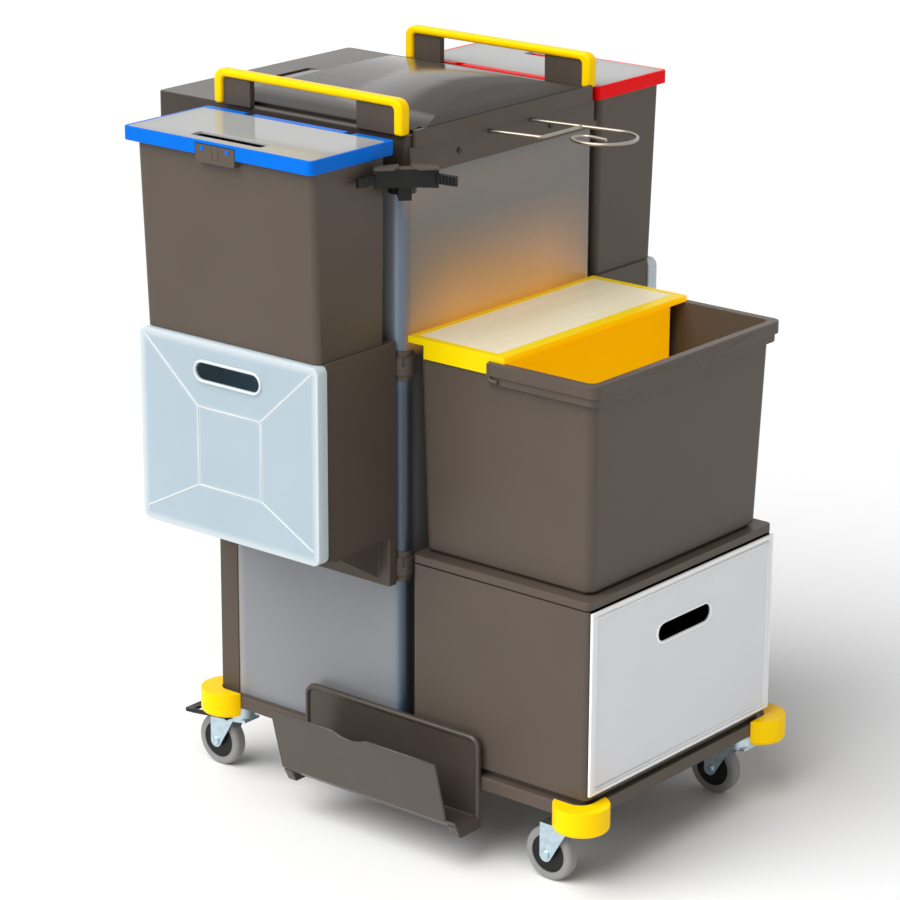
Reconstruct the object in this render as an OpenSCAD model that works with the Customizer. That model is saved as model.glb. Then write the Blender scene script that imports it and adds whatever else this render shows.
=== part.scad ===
// Janitor cart. A platform on four casters carries a lidded waste tower at the rear, a drawer cabinet with
// an open bucket and a tool tray at the front, and a drawer and a lidded bucket on each side of the tower.
// Millimetres, +Z up, floor at z = 0. Front is +X, right is -Y.

/* [Base] */
// Length of the base platform
base_l = 690; // [660:1:720]
// Width of the base platform
base_w = 450; // [440:1:470]
// Height of the base platform
base_h = 20; // [18:1:28]
// Plan radius of the base corners
base_corner_r = 22; // [14:1:30]
// Wall of the hollow base
base_wall = 6; // [4:1:8]
// Height of the base underside above the floor
ride_h = 113; // [110:1:122]
// Radius of a corner bumper
bumper_r = 40; // [34:1:46]
// Height of a corner bumper
bumper_h = 38; // [32:1:40]
// Distance from a bumper's centre to the base edges
bumper_inset = 12; // [8:1:16]
// How far a bumper stands above the base
bumper_rise = 4; // [1:1:6]
// Radius of a bumper's lower edge
bumper_edge_r = 7; // [3:1:10]

/* [Casters] */
// Wheel diameter
wheel_d = 80; // [74:1:84]
// Tyre width
tyre_w = 20; // [16:1:24]
// Radius of the tyre's shoulders
tyre_edge_r = 6; // [3:1:7]
// Hub diameter
hub_d = 56; // [46:1:60]
// Recess in each hub face
hub_dish = 2; // [1:0.5:4]
// Hub boss diameter
hub_boss_d = 20; // [16:1:26]
// Axle diameter
axle_d = 8; // [6:0.5:10]
// Axle head diameter
axle_head_d = 14; // [12:0.5:18]
// Axle head height
axle_head_h = 3; // [2:0.5:5]
// Offset of the wheel behind its swivel axis
trail = 42; // [36:1:46]
// Front swivel axes to the front edge of the base
front_setback = 32; // [28:1:60]
// Rear swivel axes to the rear edge of the base
rear_setback = 27; // [27:1:45]
// Swivel axes to the side edges of the base
side_setback = 28; // [28:1:50]
// Side of the square top plate
plate_l = 48; // [46:1:50]
// Corner radius of the top plate
plate_r = 12; // [12:1:16]
// Thickness of the top plate
plate_t = 4; // [3:0.5:6]
// Diameter of the fixed swivel race
race_d = 44; // [40:1:46]
// Height of the fixed swivel race
race_h = 8; // [5:0.5:9]
// Diameter of the fork head under the race
head_d = 38; // [30:1:38]
// Kingpin diameter
kingpin_d = 12; // [8:0.5:16]
// Fork sheet thickness
fork_t = 2.5; // [2:0.25:4]
// Side clearance between tyre and fork
fork_gap = 3.5; // [2:0.5:6]
// Clearance between wheel and fork crown
crown_gap = 4; // [2:0.5:6]
// Crown thickness
crown_t = 4; // [3:0.5:5]
// Radius of the fork's lower end
fork_tip_r = 10; // [9:0.5:13]
// Length of a brake pedal behind its pivot
pedal_l = 88; // [80:1:100]
// Section of a brake pedal's arms
pedal_t = 5; // [4:0.5:7]
// Depth of a brake pedal's foot bar
pedal_bar = 15; // [10:1:20]
// Diameter of a brake pedal's pivots
pedal_pin_d = 5; // [4:0.5:6]
// Pivot offset behind the swivel axis
pedal_pivot_x = 14; // [10:1:18]
// Downward slope of a brake pedal at rest
pedal_slope = 6; // [2:1:9]

/* [Tower] */
// Length of the tower, rear of the posts to front of the panel
tower_l = 354; // [330:1:370]
// Width of the tower over its posts
tower_w = 430; // [420:1:436]
// Height of the tower up to the top frame
tower_h = 834; // [820:1:860]
// Gap from the base's rear edge to the posts
post_inset = 4; // [2:1:10]
// Side of a rear post
post_w = 34; // [30:1:40]
// Wall of a rear post
post_wall = 4; // [3:0.5:5]
// Lip of a post outside the wrap panel
post_lip = 2; // [2:0.5:4]
// Depth of the panel groove in a post
groove_d = 8; // [5:1:10]
// Thickness of the wrap panel
sheet_t = 2; // [1.5:0.25:3]
// Outer bend radius of the wrap panel
bend_r = 15; // [12:0.5:18]
// Wall of a front corner tube
tube_wall = 2.5; // [1.5:0.25:4]
// Thickness of the rear panel
rear_panel_t = 3; // [2:0.5:5]
// Rear panel's distance from the rear of the posts
rear_panel_in = 10; // [6:1:18]

/* [Top frame] */
// Overhang of the rear deck beyond the base
deck_overhang = 109; // [90:1:125]
// Width of the top frame
frame_w = 416; // [408:1:420]
// Height of the top frame
frame_h = 57; // [52:1:64]
// Wall of the top frame
frame_wall = 6; // [4:0.5:8]
// Thickness of the deck
deck_t = 7; // [6:0.5:9]
// Thickness of the cap plate that covers posts and panel
flange_t = 8; // [5:0.5:10]
// Overhang of the cap plate past the posts
cap_over = 1; // [0:0.5:3]
// Plan radius of the deck corners
deck_r = 8; // [4:1:12]
// Front overhang of the top frame over the panel
frame_over = 2.5; // [1:0.5:5]
// Margin of the bag opening inside posts and panel
bag_margin = 20; // [14:1:26]
// Thickness of the apron plate
apron_t = 4; // [3:0.5:5]
// Thickness of the apron's upper lip
apron_lip_t = 7; // [6:0.5:9]
// Height of the apron's lower plate
apron_h = 40; // [37:1:43]
// Height of the apron's lip above the deck
apron_rise = 7; // [4:0.5:10]
// Width of the apron's lower plate
apron_w = 408; // [396:1:410]
// Clearance between the apron's lip and the handles
lip_gap = 2.5; // [1:0.5:5]

/* [Tower lid] */
// Width of the lid
lid_w = 376; // [360:1:384]
// Height of the lid's edge above the deck
lid_edge_h = 4; // [3:0.5:8]
// Height of the lid's crown above the deck
lid_crown_h = 29; // [24:1:36]
// Shell thickness of the lid
lid_wall = 4; // [3:0.5:6]
// Run of the sloping front face
lid_front_run = 42; // [30:1:60]
// Height of the lid's front edge above the deck
lid_front_h = 8; // [7.5:0.5:12]
// Run of the sloping rear face
lid_rear_run = 70; // [50:1:100]
// Height of the lid's rear edge
lid_rear_h = 5; // [4.5:0.5:8]
// Width of the hinge tab
tab_w = 96; // [80:1:120]
// Hinge axis behind the lid's rear edge
hinge_back = 44; // [36:1:56]
// Hinge axis below the deck surface
hinge_drop = 9; // [9:0.5:11]
// Hinge pin diameter
hinge_pin_d = 6; // [5:0.5:8]
// Radius of the hinge knuckle
knuckle_r = 8; // [7:0.5:8.5]
// Side and end clearance round the hinge tab
tab_gap = 2; // [1:0.5:4]
// Width of a hinge boss
boss_w = 12; // [9:1:16]

/* [Handles] */
// Height of the handles above the deck
handle_h = 50; // [44:1:60]
// Thickness of the bar
handle_bar = 11; // [9:0.5:14]
// Width of a handle's legs
handle_leg = 15; // [12:0.5:18]
// Depth of the handle section across the cart
handle_w = 19; // [15:0.5:19]
// Outer corner radius of a handle
handle_r = 15; // [10:1:18]
// Inner corner radius of a handle
handle_in_r = 6; // [3:0.5:8]
// Rear end of the handles in front of the posts' rear faces
handle_rear = 6.5; // [2:0.5:12]
// Front end of the handles behind the front of the top frame
handle_front = 2; // [0:0.5:8]
// Least gap between a handle and a bucket lid
cover_clear = 7; // [3:0.5:7]
// Least gap between the tower lid and a handle
lid_side_gap = 4; // [2:0.5:6]
// Thickness of the webs under a handle
web_t = 10; // [6:0.5:14]
// Length of the rear web
web_rear_l = 51; // [40:1:70]
// Length of the front web
web_front_l = 70; // [55:1:85]

/* [Side units] */
// Gap between the posts and the side units
side_gap = 3; // [2.5:0.5:5]
// Height of the side housings above the base
housing_up = 319; // [300:1:330]
// Length of a side housing
housing_l = 329; // [310:1:332]
// Depth of a side housing
housing_d = 146; // [130:1:160]
// Height of a side housing
housing_h = 284; // [270:1:290]
// Wall of a side housing
housing_wall = 4; // [3:0.5:5]
// Setback of the housing behind the tower's front
housing_back = 8.5; // [6:0.5:14]
// Height of a support rail
rail_h = 64; // [50:1:70]
// Thickness of a support rail
rail_t = 16; // [12:0.5:20]
// Thickness of the shelf under a housing
shelf_t = 8; // [6:0.5:10]
// Reach of the shelf under a housing
shelf_d = 127; // [100:1:128]
// Thickness of a shelf gusset
gusset_t = 5; // [4:0.5:8]
// Setback of the gussets from the ends of the shelf
gusset_in = 12; // [6:1:24]
// Depth of a drawer's front pan
pan_d = 20; // [16:0.5:24]
// Face thickness of a drawer's front pan
pan_t = 4; // [3.5:0.25:5]
// Edge thickness of a drawer's front pan
pan_edge = 3; // [2:0.25:4]
// Corner radius of a drawer's front pan
pan_r = 12; // [8:0.5:16]
// How far the pan stands out beside the housing
pan_over = 2.5; // [1:0.5:4]
// Depth of the dished face
pan_dish = 2.5; // [1:0.25:3]
// Flat border round the dished face
pan_border = 10; // [6:1:16]
// Width of the flat centre of the dished face
dish_w = 118; // [90:1:140]
// Height of the flat centre of the dished face
dish_h = 115; // [90:1:125]
// Centre of the dished face below the pan's middle
dish_drop = 13.5; // [5:0.5:25]
// Wall of a side drawer
bin_wall = 2.5; // [2:0.25:4]
// Running clearance round a side drawer
bin_gap = 1; // [0.5:0.25:2]
// Width of a side drawer's hand slot
slot_w = 120; // [95:1:140]
// Height of a side drawer's hand slot
slot_h = 25; // [20:1:30]
// Top of the pan to the hand slot
slot_drop = 32; // [26:1:40]

/* [Side buckets] */
// Length of a side bucket
pail_l = 327; // [300:1:328]
// Depth of a side bucket at its rim
pail_d = 148; // [135:1:158]
// Height of a side bucket
pail_h = 265; // [240:1:280]
// Taper of a side bucket's outer wall
pail_taper = 9; // [4:1:14]
// End taper of a side bucket
pail_end_taper = 3; // [0:0.5:6]
// Wall of a side bucket
pail_wall = 3; // [2:0.25:4]
// Corner radius of a side bucket
pail_r = 10; // [6:0.5:14]
// Distance from the housing's back to the bucket
pail_in = 19; // [18:0.5:24]
// Thickness of a bucket lid
cover_t = 20; // [17:0.5:24]
// Overhang of a bucket lid at its ends
cover_end = 6; // [3:0.5:8]
// Rear overhang of a bucket lid
cover_rear = 15; // [8:0.5:17]
// Inner overhang of a bucket lid
cover_in = 12; // [11.5:0.5:13]
// Outer overhang of a bucket lid
cover_out = 11; // [8:0.5:14]
// Width of a bucket lid's coloured rim
cover_rim = 20; // [17:0.5:26]
// Coloured edge beside a bucket lid's panel
cover_edge = 5; // [3:0.5:8]
// Coloured edge at the hinge side of a bucket lid's panel
cover_hinge_edge = 15; // [13.5:0.5:17]
// Thickness of a bucket lid's panel
panel_t = 4; // [3:0.5:6]
// Corner radius of a bucket lid
cover_r = 8; // [5:0.5:12]
// Lid hinge axis to the inner edge of the lid
cover_hinge_in = 5; // [4.5:0.25:6]
// Lid hinge axis above the bucket
cover_hinge_up = 9; // [8.5:0.25:10]
// Diameter of a lid's hinge stubs
stub_d = 6; // [4:0.5:6.5]
// Length of a hinge stub beyond its lug
stub_l = 8; // [5:0.5:10]
// Width of a hinge lug
lug_w = 12; // [8:0.5:16]
// Radius of a hinge lug
lug_r = 4.5; // [3.75:0.25:5]
// Setback of the hinge lugs from the bucket's ends
lug_in = 70; // [50:1:100]
// Side clearance of a hinge lug
lug_gap = 1; // [0.5:0.25:2]
// Width of a bucket's latch tab
latch_w = 72; // [50:1:90]
// Reach of a latch tab below the lid
latch_h = 10; // [6:1:16]
// Thickness of a latch tab in front of the lid
latch_t = 7; // [4:0.25:8]
// Top of a latch tab below the top of the lid
latch_drop = 4.75; // [3:0.25:6]
// Clearance between a latch tab and the lid
latch_gap = 0.6; // [0.4:0.1:1.2]
// Length of the grip slot in a lid's panel
grip_l = 130; // [90:1:150]
// Width of the grip slot in a lid's panel
grip_w = 24; // [16:1:28]
// Grip slot's distance from the outer edge of the lid
grip_out = 20; // [14:1:30]

/* [Cabinet] */
// Gap between the tower panel and the cabinet
cabinet_gap = 18; // [12:1:24]
// Cabinet front behind the base's front edge
cabinet_back = 1.5; // [0:0.5:6]
// Cabinet width
cabinet_w = 434; // [424:1:440]
// Cabinet height above its plinth
cabinet_h = 290; // [270:1:310]
// Plinth height
plinth_h = 9; // [4:0.5:12]
// Plinth inset
plinth_in = 8; // [5:0.5:14]
// Cabinet wall
cabinet_wall = 5; // [4:0.5:7]
// Corner radius of the cabinet
cabinet_r = 10; // [6:0.5:12]
// Thickness of the cabinet top
cabinet_top_t = 12; // [9:0.5:15]
// Height of the groove under the cabinet top
seam_h = 2; // [1:0.25:3]
// Depth of the groove under the cabinet top
seam_d = 3; // [1.5:0.25:4]
// Height of the drawer runners
runner_h = 4; // [3:0.5:6]
// Width of a drawer runner
runner_w = 20; // [14:1:28]
// Clearance over the drawer runners
runner_gap = 0.3; // [0.2:0.05:0.5]
// Side clearance of the drawer box
drawer_gap = 5; // [3:0.5:8]
// Wall of the drawer box
drawer_wall = 3; // [2:0.25:4]
// Height of the drawer box
drawer_h = 244; // [220:1:255]
// Thickness of the drawer panel
front_t = 2.5; // [2:0.25:4]
// Raised edge of the drawer panel
front_bead = 1.5; // [0.5:0.25:2.5]
// Width of the raised side edges
bead_side = 12; // [6:0.5:16]
// Width of the raised top and bottom edges
bead_top = 5; // [3:0.5:8]
// Drawer panel's margin at its sides
front_side = 3; // [1.5:0.25:5]
// Drawer panel's margin at its foot
front_foot = 7; // [4:0.5:10]
// Drawer panel's margin below the cabinet's top face
front_head = 15; // [14:0.5:19]
// Clearance between drawer panel and cabinet
front_gap = 0.5; // [0.3:0.1:1]
// Width of the drawer's hand slot
hand_w = 125; // [100:1:150]
// Height of the drawer's hand slot
hand_h = 27; // [22:1:32]
// Top of the drawer panel to the hand slot
hand_drop = 60; // [40:1:90]

/* [Front bucket] */
// Height of the front bucket
bucket_h = 304; // [280:1:320]
// Wall of the front bucket
bucket_wall = 3; // [2.5:0.25:4]
// Corner radius of the front bucket
bucket_r = 14; // [8:0.5:18]
// Foot bevel of the front bucket
foot_bevel = 6; // [3:0.5:10]
// Foot's margin on the cabinet top at the sides
foot_side = 20; // [14:0.5:28]
// Foot's margin on the cabinet top at the front
foot_front = 14; // [10:0.5:20]
// Foot's margin on the cabinet top at the rear
foot_rear = 7; // [5:0.5:12]
// Flare of the bucket's sides from foot to rim
flare_side = 10; // [5:0.5:12]
// Flare of the bucket's front from foot to rim
flare_front = 8; // [4:0.5:10]
// Flare of the bucket's rear from foot to rim
flare_rear = 4; // [0:0.5:5]
// Height of the rim's upper band
rim_h = 18; // [12:0.5:24]
// Height of the rim's lower band
rim_low_h = 12; // [8:0.5:16]
// Overhang of the rim's upper band
rim_out = 10.5; // [7:0.5:12]
// Overhang of the rim's lower band
rim_low_out = 7; // [3:0.5:9]
// Length of the rim along the sides
rim_l = 184; // [150:1:190]
// Length of the tray over its flange
tray_l = 169; // [160:1:172]
// Rear overhang of the tray beyond the bucket
tray_rear = 15.5; // [10:0.5:17]
// Thickness of the tray's flange
tray_flange = 9; // [7:0.5:12]
// Depth of the tray below its flange
tray_h = 139; // [100:1:160]
// Wall of the tray
tray_wall = 3; // [2:0.25:4]
// Front overhang of the tray's flange
tray_front = 15.5; // [10:0.5:18]
// Clearance between the tray and the bucket's inner walls
tray_gap = 4; // [2:0.5:8]
// Clearance between the tray's side flaps and the bucket
flap_gap = 0.5; // [0.3:0.1:1]
// Thickness of the tray's side flaps
flap_t = 2; // [2:0.25:4]
// Drop of the tray's side flaps
flap_h = 19; // [12:1:24]
// Length of the tray's side flaps
flap_l = 114; // [90:1:114]
// Rear margin of the tray's lid
tray_lid_rear = 11.5; // [9:0.5:14]
// Front margin of the tray's lid
tray_lid_front = 19.5; // [18:0.5:24]
// Side margin of the tray's lid
tray_lid_side = 13; // [11:0.5:16]
// Thickness of the tray's lid
tray_lid_t = 3; // [2.5:0.25:4]
// Clearance round the tray's lid
tray_lid_gap = 0.4; // [0.3:0.1:0.8]
// Ledge under the tray's lid
tray_ledge = 4; // [3:0.5:6]
// Pivot offset from the rear edge of the tray's lid
tray_pivot_x = 3; // [2.5:0.25:4]
// Pivot diameter of the tray's lid
tray_pin_d = 2.4; // [1.6:0.1:2.4]
// Pivot length of the tray's lid
tray_pin_l = 6; // [4:0.5:8]
// Width of the crease in the tray's lid
crease_w = 3; // [1:0.5:5]
// Depth of the crease in the tray's lid
crease_d = 0.6; // [0.3:0.1:1]

/* [Attached] */
// Length of the dustpan pocket
pocket_l = 325; // [280:1:340]
// Front end of the pocket behind the base's front edge
pocket_back = 179; // [165:1:190]
// Height of the pocket's back plate
pocket_h = 125; // [110:1:135]
// Underside of the pocket below the base top
pocket_drop = 64; // [56:1:70]
// Thickness of the pocket's back plate
pocket_back_t = 6; // [4:0.5:8]
// Wall of the pocket
pocket_wall = 4; // [3:0.5:6]
// Depth of the pocket at its foot
pocket_foot = 48; // [40:1:60]
// Lean of the pocket's front wall
pocket_lean = 25; // [15:1:35]
// Height of the pocket's front wall
pocket_front_h = 104; // [90:1:110]
// Corner radius of the pocket's back plate
pocket_r = 18; // [10:1:25]
// Front wall ends this far behind the pocket's front end
pocket_short = 18; // [10:1:26]
// Width of the pocket's end ribs
rib_w = 16; // [10:1:24]
// Depth of the end ribs under the pocket
rib_h = 15; // [8:1:20]
// Radius of the finger dip
dip_r = 70; // [50:1:90]
// Depth of the finger dip
dip_d = 8; // [5:1:12]
// Finger dip's distance from the pocket's rear end
dip_x = 149; // [90:1:180]
// Outer diameter of a ring clip
clip_d = 40; // [38:1:40]
// Outer diameter of a clip's neck
clip_neck_d = 34; // [33:0.5:36]
// Height of a ring clip
clip_h = 26; // [20:1:34]
// Height of a clip with its necks
clip_neck_h = 43; // [40:1:50]
// Height of the lower clips above the base
clip_low = 251; // [230:1:260]
// Height of the upper clips above the base
clip_up = 545; // [500:1:580]
// Width of the slot in a ring clip
clip_slot = 3; // [2:0.5:5]
// Height of the tool clamp's collar
collar_h = 22; // [16:1:30]
// Clearance of the tool clamp's collar under the frame
collar_gap = 2; // [1:0.5:4]
// Width of the tool clamp's neck
neck_w = 18; // [14:1:24]
// Reach of the tool clamp from the tower's corner
clamp_reach = 50; // [46:1:60]
// Half width of the tool clamp's body
clamp_half = 44; // [36:1:46]
// Height of the tool clamp's body
clamp_h = 26; // [20:1:32]
// Underside of the tool clamp's body below the top frame
clamp_drop = 3; // [0:0.5:8]
// Half spread of the tool clamp's jaws
jaw_half = 66; // [58:1:70]
// Thickness of the tool clamp's jaws
jaw_t = 5; // [4:0.5:7]
// Thickness of the tool clamp's top plate
wing_t = 3; // [2:0.5:4]
// Wire diameter of the hook
wire_d = 5; // [4:0.5:6]
// Hook's height above the underside of the top frame
wire_up = 36; // [30:0.5:36.5]
// Right end of the hook
wire_y0 = -37; // [-60:1:-20]
// Left end of the hook
wire_y1 = 56; // [45:1:70]
// Reach of the hook's cross wire
cross_x = 84; // [60:1:100]
// Diameter of the cross wire
wire_cross_d = 4.5; // [3.5:0.1:4.8]
// Slant of the hook's right wire
cross_slant = 15; // [5:1:25]
// Centre of the hook's ring in front of the frame
ring_x = 151; // [140:1:170]
// Sideways centre of the hook's ring
ring_y = 33; // [25:1:45]
// Radius of the hook's ring
ring_r = 46; // [40:1:50]
// Radius of the hook's returned end
return_r = 16; // [12:1:18]
// Straight run at the hook's end
return_l = 28; // [15:1:32]
// Extra diameter of a weld bead on the hook
wire_bead = 0.8; // [0.6:0.1:1.4]
// Screw head diameter
screw_d = 8; // [6:0.5:10]
// Screw head height
screw_h = 2.5; // [1.5:0.25:4]

/* [Fits] */
// Radial clearance of pins and pivots in their bores
fit = 0.05; // [0.02:0.01:0.1]
// Clearance between turning faces
run_gap = 0.3; // [0.3:0.05:0.6]

/* [Hidden] */
$fn = 48;
over = 1;

// colours
dark = "#5b5550";
black = "#1c1c1d";
yellow = "#ffd800";
zinc = "#b9c6cc";
grey = "#8f9092";
frosted = "#93979d";
pale = "#c3cdd2";
cream = "#e6ddbe";
blue = "#0a6cf0";
red = "#e3101c";

// base
base_x0 = -(base_l - bumper_inset + bumper_r - deck_overhang) / 2;
base_x1 = base_x0 + base_l;
base_y = base_w / 2;
base_top = ride_h + base_h;

// casters
wheel_r = wheel_d / 2;
swivel_front = base_x1 - front_setback;
swivel_rear = base_x0 + rear_setback;
swivel_y = base_y - side_setback;
head_r = head_d / 2;
head_top = ride_h - plate_t - race_h - run_gap;
crown_z = wheel_d + crown_gap;
cheek_in = tyre_w / 2 + fork_gap;
cheek_out = cheek_in + fork_t;
pedal_in = cheek_out + run_gap;
pedal_z = crown_z + crown_t / 2;

// tower
post_x0 = base_x0 + post_inset;
post_x1 = post_x0 + post_w;
tower_x1 = post_x0 + tower_l;
tower_y = tower_w / 2;
sheet_y = tower_y - post_lip;
arc_x = tower_x1 - bend_r;
arc_y = sheet_y - bend_r;
frame_z = base_top + tower_h;
frame_top = frame_z + frame_h;
frame_x0 = base_x0 - deck_overhang;
frame_x1 = tower_x1 + frame_over;
frame_y = frame_w / 2;
lid_x0 = post_x0;
lid_x1 = frame_x1 + apron_lip_t - 1;
lid_y = lid_w / 2;
vault_r = (lid_y * lid_y + pow(lid_crown_h - lid_edge_h, 2)) / (2 * (lid_crown_h - lid_edge_h));
hinge_x = lid_x0 - hinge_back;
hinge_z = frame_top - hinge_drop;
handle_x0 = post_x0 + handle_rear;
handle_x1 = frame_x1 - handle_front;
handle_top = frame_top + handle_h;

// side units, measured outwards from the middle of the cart
side_y = max(tower_y + side_gap, frame_y + handle_w / 2 + cover_clear + cover_in - pail_in);
housing_x1 = tower_x1 - housing_back;
housing_x0 = housing_x1 - housing_l;
housing_z = base_top + housing_up;
housing_top = housing_z + housing_h;
housing_y = side_y + housing_d;
pan_x0 = housing_x0 - pan_over;
pan_x1 = housing_x1 + pan_over;
pan_y = housing_y + pan_d;
pan_mid = (pan_x0 + pan_x1) / 2;
pail_x1 = housing_x1 - 1;
pail_x0 = pail_x1 - pail_l;
pail_y = side_y + pail_in;
pail_top = housing_top + pail_h;
cover_x0 = pail_x0 - cover_rear;
cover_x1 = pail_x1 + cover_end;
cover_y0 = pail_y - cover_in;
cover_y1 = pail_y + pail_d + cover_out;
cover_mid = (cover_x0 + cover_x1) / 2;
cover_axis_y = cover_y0 + cover_hinge_in;
cover_axis_z = pail_top + cover_hinge_up;
lug_x = [pail_x0 + lug_in, pail_x1 - lug_in];
rail_z = housing_z - shelf_t - rail_h;

// cabinet and front bucket
cabinet_x0 = tower_x1 + cabinet_gap;
cabinet_x1 = base_x1 - cabinet_back;
cabinet_y = cabinet_w / 2;
cabinet_z = base_top + plinth_h;
cabinet_top_z = cabinet_z + cabinet_h;
shell_top = cabinet_top_z - cabinet_top_t - seam_h;
drawer_z = cabinet_z + cabinet_wall + runner_h + runner_gap;
drawer_y = cabinet_y - cabinet_wall - drawer_gap;
front_x = cabinet_x1 + front_gap;
front_y = cabinet_y - front_side;
front_z0 = cabinet_z + front_foot;
front_z1 = cabinet_top_z - front_head;
bucket_x0 = cabinet_x0 + foot_rear - flare_rear;
bucket_x1 = cabinet_x1 - foot_front + flare_front;
bucket_y = cabinet_y - foot_side + flare_side;
bucket_top = cabinet_top_z + bucket_h;
tray_x0 = bucket_x0 - tray_rear;
tray_x1 = tray_x0 + tray_l;
tray_y = bucket_y + flap_gap + flap_t;
tray_top = bucket_top + tray_flange;
tray_in_x0 = bucket_x0 + bucket_wall + tray_gap;
tray_in_x1 = tray_x1 - tray_front;
tray_in_y = bucket_y - flare_side - bucket_wall + flare_side * (1 - tray_h / bucket_h) - tray_gap;
tray_lid_x0 = tray_x0 + tray_lid_rear;
tray_lid_x1 = tray_x1 - tray_lid_front;
tray_lid_y = tray_y - tray_lid_side;
tray_lid_z = tray_top - tray_lid_t;
tray_pivot = [tray_lid_x0 + tray_pivot_x, tray_top - tray_lid_t / 2];

// attached pieces
pocket_x1 = base_x1 - pocket_back;
pocket_x0 = pocket_x1 - pocket_l;
pocket_z = base_top - pocket_drop;
corner = [tower_x1, -sheet_y];
wire_z = frame_z + wire_up;
wire_x = frame_x1 + wire_d / 5;
ring_c = [frame_x1 + ring_x, ring_y];
wire_to_ring = norm([ring_c[0] - wire_x, ring_c[1] - wire_y1]);
wire_dir = atan2(ring_c[1] - wire_y1, ring_c[0] - wire_x) + asin(ring_r / wire_to_ring);
wire_run = sqrt(wire_to_ring * wire_to_ring - ring_r * ring_r);
ring_end = -125;
return_turn = 150;

// shapes used by several pieces
module box(x0, x1, y0, y1, z0, z1) {
    translate([x0, y0, z0]) cube([x1 - x0, y1 - y0, z1 - z0]);
}

module rounded(a0, a1, b0, b1, r) {
    translate([a0 + r, b0]) square([a1 - a0 - 2 * r, b1 - b0]);
    translate([a0, b0 + r]) square([a1 - a0, b1 - b0 - 2 * r]);
    for (a = [a0 + r, a1 - r], b = [b0 + r, b1 - r]) translate([a, b]) circle(r);
}

module slab(x0, x1, y, r, z0, z1) {
    translate([0, 0, z0]) linear_extrude(z1 - z0) rounded(x0, x1, -y, y, r);
}

// extrude a profile drawn in X and Z along Y
module along_y(y0, y1) {
    translate([0, y1, 0]) rotate([90, 0, 0]) linear_extrude(y1 - y0) children();
}

// extrude a profile drawn in Y and Z along X
module along_x(x0, x1) {
    translate([x0, 0, 0]) rotate([90, 0, 90]) linear_extrude(x1 - x0) children();
}

// draw on the left (1) or on the right (-1) of the cart
module on_side(side) {
    if (side > 0) children();
    else mirror([0, 1, 0]) children();
}

module pin_y(d, y0, y1) {
    translate([0, y1, 0]) rotate([90, 0, 0]) cylinder(d = d, h = y1 - y0);
}

module pin_x(d, x0, x1) {
    translate([x0, 0, 0]) rotate([0, 90, 0]) cylinder(d = d, h = x1 - x0);
}

// base
module base_platform() {
    pad = plate_l / 2 + base_wall;
    color(dark) difference() {
        slab(base_x0, base_x1, base_y, base_corner_r, ride_h, base_top);
        box(base_x0 + base_wall, base_x1 - base_wall, pad - swivel_y, swivel_y - pad,
            ride_h - over, base_top - base_wall);
        box(swivel_rear + pad, swivel_front - pad, base_wall - base_y, base_y - base_wall,
            ride_h - over, base_top - base_wall);
    }
}

module bumper(front, side) {
    x = front > 0 ? base_x1 - bumper_inset : base_x0 + bumper_inset;
    z = base_top + bumper_rise - bumper_h;
    color(yellow) difference() {
        translate([x, side * (base_y - bumper_inset), z]) rotate_extrude() {
            square([bumper_r - bumper_edge_r, bumper_h]);
            translate([0, bumper_edge_r]) square([bumper_r, bumper_h - bumper_edge_r]);
            translate([bumper_r - bumper_edge_r, bumper_edge_r]) circle(bumper_edge_r);
        }
        slab(base_x0, base_x1, base_y, base_corner_r, z - over, base_top + bumper_rise + over);
    }
}

// casters, drawn with the swivel axis on Z and the wheel behind it
module at_caster(front, side) {
    translate([front > 0 ? swivel_front : swivel_rear, side * swivel_y, 0]) children();
}

module caster_plates() {
    color(zinc) for (front = [1, -1], side = [1, -1]) at_caster(front, side) difference() {
        union() {
            translate([0, 0, ride_h - plate_t]) linear_extrude(plate_t)
                rounded(-plate_l / 2, plate_l / 2, -plate_l / 2, plate_l / 2, plate_r);
            translate([0, 0, ride_h - plate_t - race_h]) cylinder(d = race_d, h = race_h + over);
        }
        translate([0, 0, ride_h - plate_t - race_h - over])
            cylinder(d = kingpin_d + 2 * fit, h = plate_t + race_h + 2 * over);
    }
}

module fork(front, side) {
    color(zinc) at_caster(front, side) difference() {
        union() {
            for (y = [-cheek_out, cheek_in]) along_y(y, y + fork_t) {
                translate([-trail, wheel_r]) circle(fork_tip_r);
                polygon([[-trail - fork_tip_r, wheel_r], [-trail - fork_tip_r, crown_z + crown_t],
                    [head_r, crown_z + crown_t], [head_r, crown_z], [-pedal_pivot_x / 2, crown_z - crown_t],
                    [-trail + 0.8 * fork_tip_r, wheel_r - 0.6 * fork_tip_r]]);
            }
            box(-trail - fork_tip_r, head_r, -cheek_out, cheek_out, crown_z, crown_z + crown_t);
            translate([0, 0, crown_z]) cylinder(r = head_r, h = head_top - crown_z);
            translate([0, 0, crown_z]) cylinder(d = kingpin_d, h = ride_h - run_gap - crown_z);
        }
        translate([-trail, 0, wheel_r]) pin_y(axle_d + 2 * fit, -cheek_out - over, cheek_out + over);
        if (front < 0) for (s = [1, -1]) translate([-pedal_pivot_x, 0, pedal_z])
            on_side(s) pin_y(pedal_pin_d + 2 * fit, cheek_in, cheek_out + over);
    }
}

module axle(front, side) {
    color(zinc) at_caster(front, side) translate([-trail, 0, wheel_r]) {
        pin_y(axle_d, -cheek_out - axle_head_h, cheek_out + axle_head_h);
        for (s = [1, -1]) on_side(s) pin_y(axle_head_d, cheek_out, cheek_out + axle_head_h);
    }
}

module hub(front, side) {
    color(black) at_caster(front, side) translate([-trail, 0, wheel_r]) difference() {
        union() {
            pin_y(hub_d, -tyre_w / 2 + hub_dish, tyre_w / 2 - hub_dish);
            pin_y(hub_boss_d, -cheek_in + run_gap, cheek_in - run_gap);
        }
        pin_y(axle_d + 2 * fit, -cheek_in, cheek_in);
    }
}

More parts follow.
